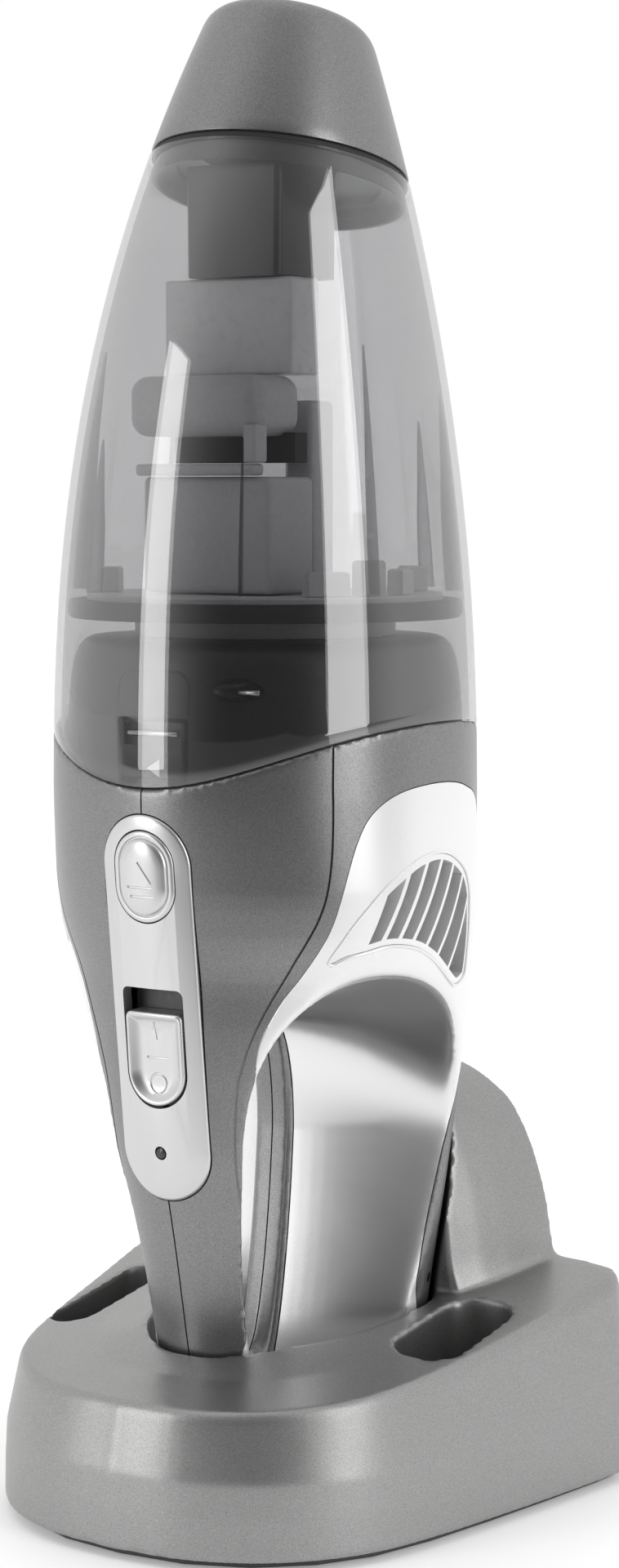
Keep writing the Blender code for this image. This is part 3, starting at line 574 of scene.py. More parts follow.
def metallic_paint(name, colour, roughness, metallic, sparkle=0.08):
    """Silver lacquer: metal flakes a third of a millimetre across in a satin coat."""
    made, nodes, links, main = shader(name, colour, roughness, metallic)
    flakes = noise(nodes, links, 3200, 1.0)
    cloud = noise(nodes, links, 60, 2.0)
    varied(nodes, links, main, (flakes, cloud), shades(colour, sparkle, sparkle), (roughness, 0.02))
    bumpy(nodes, links, main, flakes, 0.25, 0.02)
    return made


def pearl(name, colour, roughness, metallic):
    """Pearlescent lacquer: almost even, with a slow drift of tone and gloss."""
    made, nodes, links, main = shader(name, colour, roughness, metallic)
    cloud = noise(nodes, links, 45, 2.0)
    varied(nodes, links, main, (cloud, cloud), shades(colour, 0.015, 0.0), (roughness, 0.015))
    return made


def plastic(name, colour, roughness, grain=900, depth=0.02, vary=0.05, metallic=0.0):
    """Moulded plastic with a fine spark-eroded grain."""
    made, nodes, links, main = shader(name, colour, roughness, metallic)
    texture = noise(nodes, links, grain, 3.0)
    varied(nodes, links, main, (texture, texture), shades(colour, vary, vary), (roughness, 0.04))
    bumpy(nodes, links, main, texture, 0.15, depth)
    return made


def clear_plastic(name, pass_through, roughness=0.02, mirror=0.09):
    """Tinted transparent plastic: what passes is dimmed at each face, and the rest mirrors."""
    made = bpy.data.materials.new(name)
    made.use_nodes = True
    nodes, links = made.node_tree.nodes, made.node_tree.links
    nodes.remove(nodes["Principled BSDF"])
    texture = noise(nodes, links, 25, 2.0)
    see = nodes.new("ShaderNodeBsdfTransparent")
    links.new(tint(nodes, links, texture, *shades(pass_through, 0.015, 0.0)), see.inputs["Color"])
    shine = nodes.new("ShaderNodeBsdfGlossy")
    shine.inputs["Roughness"].default_value = roughness
    facing = nodes.new("ShaderNodeLayerWeight")
    facing.inputs["Blend"].default_value = 0.5
    steep = nodes.new("ShaderNodeMath")
    steep.operation = "POWER"
    steep.inputs[1].default_value = 4.0
    share = nodes.new("ShaderNodeMath")
    share.operation = "MULTIPLY_ADD"
    share.inputs[1].default_value = 1.0 - mirror
    share.inputs[2].default_value = mirror
    both = nodes.new("ShaderNodeMixShader")
    links.new(facing.outputs["Facing"], steep.inputs[0])
    links.new(steep.outputs["Value"], share.inputs[0])
    links.new(share.outputs["Value"], both.inputs["Fac"])
    links.new(see.outputs["BSDF"], both.inputs[1])
    links.new(shine.outputs["BSDF"], both.inputs[2])
    links.new(both.outputs["Shader"], nodes["Material Output"].inputs["Surface"])
    return made


SILVER = metallic_paint("silver_lacquer", (0.25, 0.247, 0.25), 0.33, 0.85, 0.18)
BASE_SILVER = metallic_paint("base_lacquer", (0.33, 0.327, 0.325), 0.37, 0.85, 0.14)
WHITE = pearl("pearl_white", (0.88, 0.88, 0.885), 0.28, 0.4)
# Painted shade: the side panel's white pearl, a little darker and more mirror-like, used on the scoop lining
# so that the scoop reads as shaded.
SCOOP_SHADE_PEARL = pearl("pearl_chrome", (0.82, 0.82, 0.825), 0.25, 0.92)
PLATE = pearl("pearl_silver", (0.64, 0.64, 0.645), 0.29, 0.85)
SMOKE = clear_plastic("smoked_clear", (0.81, 0.81, 0.815), 0.02, 0.13)
SMOKE_RIB = clear_plastic("smoked_rib", (0.55, 0.55, 0.56), 0.08)
GREY = plastic("light_grey_plastic", (0.52, 0.52, 0.53), 0.42)
CLOUDY = plastic("cloudy_grey_plastic", (0.72, 0.72, 0.73), 0.3, 300, 0.01, 0.03)
DARK = plastic("dark_plastic", (0.045, 0.045, 0.048), 0.38)
DARK_GLOSS = pearl("dark_gloss_plastic", (0.035, 0.035, 0.038), 0.2, 0.0)
BULKHEAD = metallic_paint("graphite_lacquer", (0.07, 0.07, 0.073), 0.36, 0.6, 0.1)
RUBBER = plastic("black_rubber", (0.02, 0.02, 0.021), 0.6, 1200, 0.02)
STEEL = plastic("bright_steel", (0.72, 0.72, 0.73), 0.2, 600, 0.004, 0.03, 1.0)
BRASS = plastic("brass_plate", (0.72, 0.55, 0.26), 0.25, 600, 0.004, 0.05, 1.0)
PAPER = plastic("filter_paper", (0.78, 0.78, 0.74), 0.9, 700, 0.05, 0.08)
BOARD = plastic("circuit_board", (0.03, 0.16, 0.07), 0.45, 500, 0.01, 0.15)
WRAP = plastic("cell_wrap", (0.05, 0.14, 0.4), 0.35, 300, 0.01, 0.05)
LENS = plastic("tinted_lens", (0.05, 0.045, 0.045), 0.08, 300, 0.002)
# Painted shade: near-black, for the block that fills the slot under the separator hood.
SLOT_SHADE = plastic("dark_inside", (0.015, 0.015, 0.016), 0.7)
# Painted shade: dark grey, for the back wall behind the vent slats.
VENT_SHADE = plastic("dark_chamber", (0.10, 0.10, 0.10), 0.6)

SLOT_FINISH = {
    "silver_metallic": SILVER, "base_silver": BASE_SILVER, "white_satin": WHITE,
    "plate_satin": PLATE, "smoked_clear": SMOKE, "clear_grey": CLOUDY, "grey_plastic": GREY,
    "dark_plastic": DARK, "dark_metallic": BULKHEAD, "black_rubber": RUBBER, "steel": STEEL,
    "brass": BRASS, "filter_paper": PAPER, "circuit_board": BOARD, "cell_wrap": WRAP,
    "led_lens_clear": LENS,
}


def dress_cad_nodes():
    """Every CAD piece that still shows gets the detailed finish of its slot."""
    for row in frame["record"]["subparts"]:
        node = frame["nodes"][row["node"]]
        node.data.materials.clear()
        node.data.materials.append(SLOT_FINISH[row["material_slot"]])


def add(obj, body, slot, finish, *nodes):
    """A finished piece: it rides on a body, wears a finish and stands for CAD nodes."""
    obj.data.materials.clear()
    obj.data.materials.append(finish)
    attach(obj, body)
    if nodes:
        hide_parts(*nodes)
    return obj


def add_both(obj, slot, finish, node=""):
    """A piece of the vacuum's right side and its twin on the left."""
    for piece in (obj, mirrored(obj, obj.name.replace("right", "left"))):
        side = piece.name.rsplit("_", 1)[1]
        add(piece, "vacuum", slot, finish, *((f"{node}_{side}",) if node else ()))


# ---------------------------------------------------------------- nozzle and cup

def ogive_shell(name, outer, inner, sharp=32):
    """A closed shell between two stacks of rings, given as height, tilt and inset."""
    rings = [round_ring(*row) for row in outer] + [round_ring(*row) for row in reversed(inner)]
    return loft(name, rings, sharp, closed=True)


def tilt_at(z):
    """How far a level of the cup tips: flat low down, like the joint higher up."""
    t = min(max((z - 300.0) / (JOINT_Z - 300.0), 0.0), 1.0)
    return JOINT_TILT * t * t * (3 - 2 * t)


def joint_rows(*steps):
    """Rows for an ogive shell by the cup's joint: each step is a rise above it and an inset."""
    return [(JOINT_Z + rise, JOINT_TILT, inset) for rise, inset in steps]


def nozzle_pieces():
    outer = joint_rows((0.9, 0.5), (1.1, 0.1))
    for t in np.linspace(0, 1, 12):
        outer.append((JOINT_Z + 1.5 + (MOUTH_Z - 4.5 - JOINT_Z) * t,
                      JOINT_TILT + (MOUTH_TILT - JOINT_TILT) * t, 0.0))
    for rise, inset in ((-2.0, 0.1), (-1.0, 0.3), (0.0, 0.8), (0.9, 1.6), (1.4, 2.6)):
        outer.append((MOUTH_Z + rise, MOUTH_TILT, inset))
    inner = joint_rows((0.9, 2.2))
    inner += [(386, math.radians(13.3), 2.2), (400, math.radians(15.0), 2.4),
              (MOUTH_Z - 1, MOUTH_TILT, 3.4), (MOUTH_Z + 1.2, MOUTH_TILT, 3.2)]
    nozzle = ogive_shell("nozzle_shell", outer, inner, 40)
    add(nozzle, "cup", "silver_metallic", SILVER, "nozzle")
    seal = ogive_shell("nozzle_seal", joint_rows((-0.8, 0.9), (-0.6, 0.7), (0.6, 0.7), (0.8, 0.9)),
                       joint_rows((-0.8, 5.5), (0.8, 5.5)))
    add(seal, "cup", "black_rubber", RUBBER, "nozzle_gasket")


def collar_piece():
    """The nozzle's dark insert: collar, disc and the rectangular duct that hangs from it."""
    collar = ogive_shell("duct_collar",
                         joint_rows((-6.4, 3.0), (-6.0, 2.6), (-2.2, 2.5), (3.0, 4.2)),
                         joint_rows((-6.4, 4.2), (-3.2, 4.4), (-2.6, 6.5), (-2.6, 8.5), (1.0, 8.5),
                                    (3.0, 8.5)))
    add(collar, "cup", "dark_plastic", DARK_GLOSS, "inlet_duct")
    disc = loft("duct_disc", [round_ring(*row) for row in joint_rows((-1.2, 8.6), (1.4, 8.6))])
    side, front, back = DUCT_BORE
    disc = carve(disc, block("bore", (-side, front, 300), (side, back, 420)))
    add(disc, "cup", "dark_plastic", DARK_GLOSS)
    outside, bore = stadium(*DUCT_OUTSIDE, 2.0, 5), stadium(*DUCT_BORE, 1.0, 5)
    wall = [[(x * (1 + out / DUCT_OUTSIDE[0]), y, z) for x, y in outside]
            for z, out in ((DUCT_FOOT, -0.3), (DUCT_FOOT + 0.3, 0.0), (JOINT_Z, 0.3))]
    wall += [[(x, y, z) for x, y in bore] for z in (JOINT_Z, DUCT_FOOT)]
    tube = loft("duct_tube", wall, closed=True)
    add(tube, "cup", "dark_plastic", DARK_GLOSS)


def cup_ring(z, inset):
    """A level of the cup, which turns from its wavy rim to a plain round ring by the level height."""
    level_z = 236.0
    blend = (z - 214) / (level_z - 214)
    if blend >= 1:
        return round_ring(z, tilt_at(z), inset)
    angles = [2 * math.pi * i / SIDES for i in range(SIDES)]
    return [ogive_point(phi, cup_rim(phi) + 0.5 + (level_z - cup_rim(phi)) * blend, inset)
            for phi in angles]


def cup_pieces():
    heights = [*range(218, 363, 8), JOINT_Z - 1.0]
    outer = [rim_ring(0.15, 0.25), rim_ring(0.5, 0.0)] + [cup_ring(z, 0.0) for z in heights]
    inner = [rim_ring(0.15, CUP_WALL - 0.2)] + [cup_ring(z, CUP_WALL) for z in heights]
    cup = loft("clear_cup", outer + inner[::-1], 40, closed=True)
    add(cup, "cup", "smoked_clear", SMOKE, "dust_cup")
    tops = ((27, 299), (67, 324), (113, 312), (153, 305))
    ribs = [(sign * angle, top) for sign in (1, -1) for angle, top in tops]
    for k, (angle, top) in enumerate(ribs):
        add(cup_rib(k + 1, math.radians(angle), top), "cup", "smoked_clear", SMOKE_RIB)


def cup_rib(index, phi, top):
    """A thin upright blade on the cup's inner wall, tapering to a point at the top."""
    rings = []
    stretch = (top - RIB_FOOT) / (RIB_TOP - RIB_FOOT)
    for z, depth, thick in ((RIB_FOOT, 4.6, 0.5), (270, 4.6, 0.5), (285, 3.9, 0.45), (300, 2.6, 0.4),
                            (314, 1.4, 0.3), (RIB_TOP, 0.5, 0.2)):
        z = RIB_FOOT + (z - RIB_FOOT) * stretch
        reach = radius(z) - CUP_WALL - 0.08
        section = ((reach, -thick), (reach, thick), (reach - depth * 0.8, thick * 0.8),
                   (reach - depth, 0.0), (reach - depth * 0.8, -thick * 0.8))
        rings.append([around(along, phi, z, centre_y(z), side) for along, side in section])
    return loft(f"cup_rib_{index}", rings)


# ---------------------------------------------------------------- separator tower

def tower_pieces():
    base = turned("separator_disc", [(49.4, DISC_TOP), (13.0, DISC_TOP), (13.0, DISC_LOW),
                                     (49.4, DISC_LOW), (49.9, DISC_LOW + 0.4), (49.9, DISC_TOP - 0.5)])
    add(base, "filter", "grey_plastic", GREY, "separator_base")
    # name, low corner, high corner, bevel and its segments, CAD node that it stands for
    for name, low, high, bevel, steps, *node in (
            ("tower_column", (-21, -28, TOWER_FOOT), (21, -6, 289), 1.6, 3, "air_column"),
            ("tower_lip", (-21.6, -31, 289.3), (17.5, -25, 292.5), 1.0, 3, "hood_lip"),
            ("tower_hood", (-25, -31, 300), (18.5, -7, 316.5), 5.0, 6, "separator_hood"),
            ("hood_posts", (-20, -14, 292.8), (20, -8, 301), 0, 3),
            ("hood_leg", (14.2, -31, 292.7), (18.5, -25, 303), 0.8, 3),
            ("tower_box", (-23.5, -14, 316.8), (19, 0, 343.2), 1.0, 3, "deflector_box"),
            ("tower_pipe", (9.5, -3.5, TOWER_FOOT), (19, 8, 310), 2.0, 3, "rear_column")):
        slot = "clear_grey" if name == "tower_box" else "grey_plastic"
        # The block in the slot under the hood is near-black: painted shade of the slot.
        finish = {"tower_box": CLOUDY, "hood_posts": SLOT_SHADE}.get(name, GREY)
        add(block(name, low, high, bevel, steps), "filter", slot, finish, *node)
    lugs = ((56, 6, 263.5), (74, 4, 266.5), (92, 3, 264), (-64, 4, 264), (140, 6, 264), (-140, 6, 264))
    for k, (angle, half, top) in enumerate(lugs):
        phi = math.radians(angle)
        rings = []
        for z, trim in ((DISC_TOP + 0.2, 0.0), (top - 0.6, 0.1), (top, 0.7)):
            near, far, wide = 41 + trim, 46 - trim, half - trim
            rings.append([around(reach, phi, z, BODY_Y, side)
                          for reach, side in ((near, -wide), (far, -wide), (far, wide), (near, wide))])
        add(loft(f"disc_lug_{k + 1}", rings), "filter", "grey_plastic", GREY)


def seal_pieces():
    seal = turned("seal_ring", [(50.2, 253.6), (45, 253.6), (45, 250.2), (54.4, 250.2), (55.2, 251.2),
                                (55.4, 252.6), (55.0, 254.3), (54.4, 255.2), (50.2, 255.2)])
    add(seal, "filter", "black_rubber", RUBBER, "cup_seal")
    neck = turned("filter_neck", [(33.5, 253.5), (33.5, 245.4), (36.5, 245.4), (36.5, 253.5)])
    add(neck, "filter", "grey_plastic", GREY, "filter_frame")


def bulkhead_pieces():
    flank = ((55.4, 216), (55.2, 222), (54.9, 228), (54.3, 234), (53.4, 239))
    dome = turned("bulkhead_dome", [(34.8, BULKHEAD_TOP), (34.8, 237.2), (14, 237.2), (14, 234.8),
                                    (51.2, 234.8), (52.6, 226), (53.0, 216), (53.0, 207.3), (55.4, 207.3),
                                    *flank, (52.0, 242.4), (50.2, 244.3), (48.4, BULKHEAD_TOP)], sharp=45)
    window = prism("window", stadium(11.6, 203.0, 225.0, 1.0, 4), "Y", -70, -50.6)
    edge = [(11.6, z) for z in np.linspace(231.0, 225.5, 5)]
    corner = [(6.6 + 5 * math.sin(a), 232.3 + 5 * math.cos(a)) for a in np.linspace(0, math.pi / 2, 8)]
    path = [(-x, z) for x, z in (corner + edge)[::-1]] + corner + edge
    reach = [float(np.interp(z, [h for _, h in flank], [d for d, _ in flank])) for _, z in path]
    spots = [np.array((x, BODY_Y - math.sqrt(d * d - x * x), z)) for (x, z), d in zip(path, reach)]
    facing = [np.array((p[0], p[1] - BODY_Y, 0.0)) / d for p, d in zip(spots, reach)]
    groove = swept("window_groove", spots, facing, tube_section(0.45, 0.0, 8))
    dome = carve(dome, window, groove, sharp=45)
    phi = math.radians(26)
    bm = bmesh.new()
    bmesh.ops.create_uvsphere(bm, u_segments=32, v_segments=16, radius=1.0)
    bmesh.ops.scale(bm, vec=Vector((7.4, 3.2, 3.2)) * MM, verts=bm.verts)
    bmesh.ops.rotate(bm, matrix=Matrix.Rotation(phi, 3, "Z"), verts=bm.verts)
    bmesh.ops.translate(bm, vec=Vector(around(54.9, phi, 232.6)) * MM, verts=bm.verts)
    dome = carve(dome, from_bmesh("dimple", bm), sharp=45)
    add(dome, "vacuum", "dark_metallic", BULKHEAD, "motor_bulkhead")
    bar = rod("catch_bar", around(53.6, phi + math.radians(3.5), 232.0), 0.9, 6.4, "X", 24, 0.3)
    add(bar, "vacuum", "steel", STEEL)


def latch_pieces():
    latch = block("latch_slide", (-10.2, -53.2, 208.4), (10.2, -48.8, 224.0), 0.6)
    latch = carve(latch, block("slot", (-9.4, -60, 217.4), (9.4, -51.0, 223.2)))
    add(latch, "latch", "dark_plastic", DARK_GLOSS, "cup_latch")
    pin = rod("latch_bar", (0, -52.3, 220.6), 0.9, 16.4, "X", 24, 0.3)
    add(pin, "latch", "steel", STEEL, "latch_pin")
    arrow = loft("latch_arrow", [[(-1.4, y, 211.4), (2.6, y, 209.0), (2.6, y, 213.8)]
                                 for y in (-53.5, -53.1)])
    add(arrow, "latch", "dark_plastic", WHITE)


# ---------------------------------------------------------------- casing and panels

def casing_pieces():
    form = casing_loft("form", 0.0, CASING_FLOOR)
    form = carve(form, finger_hole("hole", 0.0))
    form = softened(moulded(form, VOXEL, 5 if FINE else 3), scoop_weight, 150 if FINE else 60)
    hollow = casing_loft("hollow", WALL, CASING_FLOOR + WALL, 240)
    hollow = carve(hollow, finger_hole("hole_wall", WALL))
    right = block("right", (SEAM, -90, 0), (90, 90, 260))
    solid = copy_of(form, "panel_right")
    body = cut(keep(form, right), hollow)
    body.name = "casing_right"
    drop(right)
    edge = spline(PANEL_EDGE, 8, closed=True)
    plate_gap = prism("plate_gap", stadium(PLATE_HALF + GAP, PLATE_Z[0] - GAP, PLATE_Z[1] + GAP),
                      "Y", -90, -40.5)
    panel_gap = prism("panel_gap", grown(edge, GAP), "X", STRIP, 90)
    line = spline(GROOVE, 8)
    spots = [front_point(x, z) for x, z in line]
    groove = swept("groove", [p for p, _ in spots], [n for _, n in spots],
                   box_section(0.32, 2.0, -1.1))
    strap = rod("strap_hole", (36, 32.5, 60), 1.6, 12, "X", 32)
    body = carve(body, panel_gap, plate_gap, groove, strap, sharp=40)
    add_both(body, "silver_metallic", SILVER, "body")

    region = prism("panel_region", edge, "X", STRIP + GAP, 90)
    vent = prism("vent_hole", spline(VENT_EDGE, 6, closed=True), "X", 20, 90)
    screw = rod("screw_hole", (24, -15, 146), 4.2, 26, "Z")
    panel = carve(keep(solid, region), hollow)
    panel = carve(panel, vent, screw, sharp=40)
    drop(region)
    core = casing_loft("core", 1.5, CASING_FLOOR - 1, 250)
    lining = keep(copy_of(panel, "scoop_lining_right"), core)
    panel = carve(panel, core, sharp=40)
    add_both(panel, "white_satin", WHITE, "side_panel")
    # The scoop lining wears the darker, more mirror-like pearl, which paints the scoop's shade.
    add_both(lining, "white_satin", SCOOP_SHADE_PEARL)


def vent_slots():
    """Outlines in (y, z) between neighbouring slats, whose centre lines lean backward."""
    low, high = 145.0, 195.0
    lines = []
    for foot, head in VENT_BARS:
        lean = (head - foot) / 40
        lines.append((foot - 5 * lean, head + 5 * lean))
    lines = [(lines[0][0] - 14, lines[0][1] - 14)] + lines + [(lines[-1][0] + 18, lines[-1][1] + 18)]
    return [[(left[0] + VENT_BAR_HALF, low), (right[0] - VENT_BAR_HALF, low),
             (right[1] - VENT_BAR_HALF, high), (left[1] + VENT_BAR_HALF, high)]
            for left, right in zip(lines, lines[1:])]


def vent_pieces():
    """Slanted slats in a crescent frame over a dark back wall, which paints the shade inside the vent."""
    outline = spline(VENT_EDGE, 4, closed=True)
    fill = prism("fill", grown(outline, -0.12), "X", 20, 90)
    skin = casing_loft("skin", 0.25, 140, 215)
    core = casing_loft("core", 5.0, 139, 216)
    grille = keep(cut(skin, core), fill)
    opening = grown(spline(grown(VENT_EDGE, -VENT_FRAME), 4, closed=True), 0.0)
    for k, slot in enumerate(vent_slots()):
        region = prism("opening", opening, "X", 21, 89)
        cutter = keep(prism(f"slot_{k}", slot, "X", 22, 88), region)
        grille = carve(grille, cutter, sharp=40)
        drop(region)
    grille.name = "grille_right"
    drop(fill, core)
    add_both(grille, "white_satin", WHITE, "vent_grille")
    border = grown(outline, 0.55)
    spots = [side_point(y, z, -0.12) for y, z in border]
    bead = ring_sweep("vent_border_right", [p for p, _ in spots], [n for _, n in spots],
                      tube_section(0.42, 0.0, 10))
    add_both(bead, "white_satin", WHITE)
    # Dark back wall behind the slats: painted shade of the vent's inside.
    back = casing_loft("back", 6.2, 140, 215)
    core = casing_loft("core", 6.8, 139, 216)
    wide = prism("wide", grown(outline, 1.5), "X", 20, 90)
    back = keep(cut(back, core), wide)
    back.name = "vent_chamber_right"
    drop(core, wide)
    add_both(back, "dark_plastic", VENT_SHADE)


def ring_sweep(name, path, normals, section):
    """A closed bead along a closed path."""
    path, normals = np.array(path, float), np.array(normals, float)
    along = np.roll(path, -1, 0) - np.roll(path, 1, 0)
    along /= np.linalg.norm(along, axis=1)[:, None]
    side = np.cross(normals, along)
    side /= np.linalg.norm(side, axis=1)[:, None]
    rings = [[tuple(p + s * u + n * v) for u, v in section]
             for p, n, s in zip(path, normals, side)]
    return loft(name, rings, closed=True)


# ---------------------------------------------------------------- control plate

def shrunk(outline, inset):
    """Moved inward by up to the shrink reach, and scaled towards the middle beyond it."""
    ring = np.array(grown(outline, -min(inset, SHRINK_REACH)))
    middle = (ring.min(0) + ring.max(0)) / 2
    factor = 1 - max(inset - SHRINK_REACH, 0) / (ring.max(0) - middle)
    return [tuple(p) for p in middle + (ring - middle) * factor]


def pillow(name, outline, steps, back):
    """A closed cushion over the casing's front: each step is (inset, lift); back is its depth."""
    rings = [[tuple(front_point(x, z, back)[0]) for x, z in outline]]
    for inset, lift in steps:
        rings.append([tuple(front_point(x, z, lift)[0]) for x, z in shrunk(outline, inset)])
    cx, cz = (np.min(np.array(outline), 0) + np.max(np.array(outline), 0)) / 2
    inset, lift = steps[-1]
    last = shrunk(outline, inset)
    for f in (0.66, 0.33, 0.08):
        rings.append([tuple(front_point(cx + (x - cx) * f, cz + (z - cz) * f, lift)[0])
                      for x, z in last])
    return loft(name, rings, 50)


def engraved(obj, strokes, width, lift):
    """Round-bottomed grooves along strokes given as (x, z) points; a ring closes on itself."""
    for k, stroke in enumerate(strokes):
        spots = [front_point(x, z, lift) for x, z in stroke]
        ring = math.dist(stroke[0], stroke[-1]) < 1.0
        sweep = ring_sweep if ring else swept
        tool = sweep(f"tool_{k}", [p for p, _ in spots], [n for _, n in spots],
                     tube_section(width, 0.0, 8))
        obj = carve(obj, tool, sharp=50)
    return obj


def segment(a, b):
    return list(zip(np.linspace(a[0], b[0], 7), np.linspace(a[1], b[1], 7)))


def circle(cx, cz, r):
    return [(cx + x, cz + z) for x, z in tube_section(r, 0.0, 32)]


def switch_outline(half, low, high):
    """Round at the foot and almost square at the head."""
    foot = [(half * math.cos(a), low + half + half * math.sin(a)) for a in np.linspace(-math.pi, 0, 25)]
    head = [(half - 2 + 2 * math.cos(a), high - 2 + 2 * math.sin(a)) for a in np.linspace(0, math.pi / 2, 6)]
    return foot + head + [(-x, z) for x, z in head[::-1]]


def control_pieces():
    plate = pillow("plate_panel", stadium(PLATE_HALF, *PLATE_Z, points=20),
                   ((0.0, -0.9), (0.0, 0.0), (0.15, 0.35), (0.5, 0.6), (1.0, 0.7), (5.0, 0.7)), -2.2)
    for name, outline in (("a", stadium(BUTTON_HALF + GAP, BUTTON_Z[0] - GAP, BUTTON_Z[1] + GAP)),
                          ("b", switch_outline(SWITCH_HALF, *SWITCH_Z))):
        plate = carve(plate, prism(name, outline, "Y", -90, -30), sharp=40)
    plate = carve(plate, rod("led", (0, -50, LED_Z), 1.9, 20, "Y"), sharp=40)
    add(plate, "vacuum", "plate_satin", PLATE, "control_plate")

    button = pillow("button_cap", stadium(BUTTON_HALF, *BUTTON_Z, points=20),
                    ((0.0, 0.0), (0.1, 0.7), (0.4, 1.0), (1.0, 1.1), (1.5, 1.0), (1.7, 0.6),
                     (2.0, 0.6), (2.2, 1.2), (2.6, 1.6), (3.4, 1.9), (5.0, 2.1), (7.0, 2.2)), -5.0)
    button = engraved(button, (segment((-0.6, 186.8), (3.4, 181.0)), segment((3.4, 179.9), (-4.2, 179.9)),
                               segment((-3.4, 177.4), (3.8, 177.4))), 0.34, 2.2)
    add(button, "release", "plate_satin", PLATE, "release_button")

    slider = pillow("slider_cap", switch_outline(SLIDER_HALF, SLIDER_Z[0], SLIDER_Z[1] - 2.6),
                    ((0.0, -0.4), (0.1, 0.9), (0.35, 1.3), (0.7, 1.45), (1.1, 1.35), (1.6, 0.95),
                     (2.2, 0.3), (3.2, -0.35), (4.6, -0.6), (6.2, -0.7)), -3.6)
    slider = engraved(slider, (segment((-0.6, 142.6), (0.2, 137.6)), segment((-3.6, 132.6), (3.6, 132.6)),
                               circle(0.0, 125.6, 2.7)), 0.34, -0.6)
    add(slider, "switch", "plate_satin", PLATE, "power_switch")
    well = block("switch_well", (-9.7, -47.4, 119.0), (9.7, -46.2, 151.7), 0.3)
    add(well, "vacuum", "dark_plastic", DARK)
    lens = rod("led_dome", (0, -48.8, LED_Z), 1.6, 2.6, "Y", 32, bevel=0.6)
    add(lens, "vacuum", "led_lens_clear", LENS, "led_lens")


def coil(name, centre, radius, wire, length, turns, axis, body, node):
    """A compression spring: a wire swept along a helix, riding on a body."""
    count = turns * 24 + 1
    path, facing = [], []
    for k in range(count):
        a = 2 * math.pi * turns * k / (count - 1)
        rise = (length - 2 * wire) * (k / (count - 1) - 0.5)
        u, v = math.cos(a), math.sin(a)
        spot = (u * radius, rise, v * radius) if axis == "Y" else (u * radius, v * radius, rise)
        path.append(tuple(c + p for c, p in zip(centre, spot)))
        facing.append((u, 0.0, v) if axis == "Y" else (u, v, 0.0))
    obj = swept(name, path, facing, tube_section(wire, 0.0, 8))
    add(obj, body, "steel", STEEL, node)
    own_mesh(obj)


def spring_pieces():
    coil("button_coil", (0, -45.7, 182.5), 4.0, 0.4, 6.2, 3, "Y", "vacuum", "button_spring")
    coil("latch_coil", (0, -45.8, 212), 2.6, 0.35, 5.0, 3, "Y", "vacuum", "latch_spring")
    for side, x in (("left", -8.0), ("right", 8.0)):
        coil(f"contact_coil_{side}", (x, 29, 4.7), 1.4, 0.2, 3.0, 3, "Z", "base",
             f"contact_spring_{side}")


# ---------------------------------------------------------------- charging base

BASE_SIDE = ((0, -74.0), (21, -71.8), (39, -64.2), (53, -52), (62.5, -37), (69, -16),
             (74, 8), (78.5, 32), (82.5, 56), (83.4, 66), (80, 72.4), (74, 74.0))
BELL = ((57.0, 56), (54.6, 62), (53.2, 70), (52, 77), (49.8, 85), (47.3, 92), (43.2, 100),
        (36.2, 108), (22.4, 115.5), (0, 119.3))


def base_outline(inset):
    side = spline(BASE_SIDE, 6)
    factor = 1 - inset / 75.0
    half = [(x * factor, y * factor if y < 0 else y) for x, y in side]
    return half + [(-x, y) for x, y in half[:0:-1]]


def crest(y):
    return 42.0 + 15.0 * (max(y + 74.0, 0) / 130.0) ** 1.6


def base_form(name, inset, drop_by, bottom):
    rings = [[(x, y, bottom) for x, y in base_outline(inset)],
             [(x, y, 14) for x, y in base_outline(inset + 0.2)],
             [(x, y, 24) for x, y in base_outline(inset + 0.7)],
             [(x, y, crest(y) - 2.0 - drop_by) for x, y in base_outline(inset + 4.4)],
             [(x, y, crest(y) - drop_by) for x, y in base_outline(inset + 5.6)],
             [(x, y - drop_by * (y > 0), crest(y) + 1.6 - drop_by) for x, y in base_outline(inset + 26)],
             [(x * 0.9, y * 0.9, 52.5 - drop_by + 0.03 * y) for x, y in base_outline(inset + 42)]]
    return loft(name, rings)


def bell_arm(name):
    side = spline(BELL, 6)
    outline = [(50, 40)] + side + [(-x, z) for x, z in side[-2::-1]] + [(-50, 40)]
    steps = ((38.0, 0.72), (47.0, 0.82), (56.0, 0.90), (65.0, 0.96), (74.0, 1.0))
    return loft(name, [[(x * factor, y, z) for x, z in outline] for y, factor in steps])


def dock_form(name, grow, bottom, top):
    rings = [[(x, y, bottom) for x, y, _ in casing_ring(20, -grow)]]
    rings += [casing_ring(z, -grow) for z in np.arange(20, top, 6) if z > bottom]
    return loft(name, rings)


def arm_weight(x, y, z):
    """One round the foot and the edges of the rear arm, none near the dock and the slots."""
    return min(max((y - 38) / 10, 0), 1) * min(max((z - 44) / 6, 0), 1) * min(max((abs(x) - 38) / 8, 0), 1)


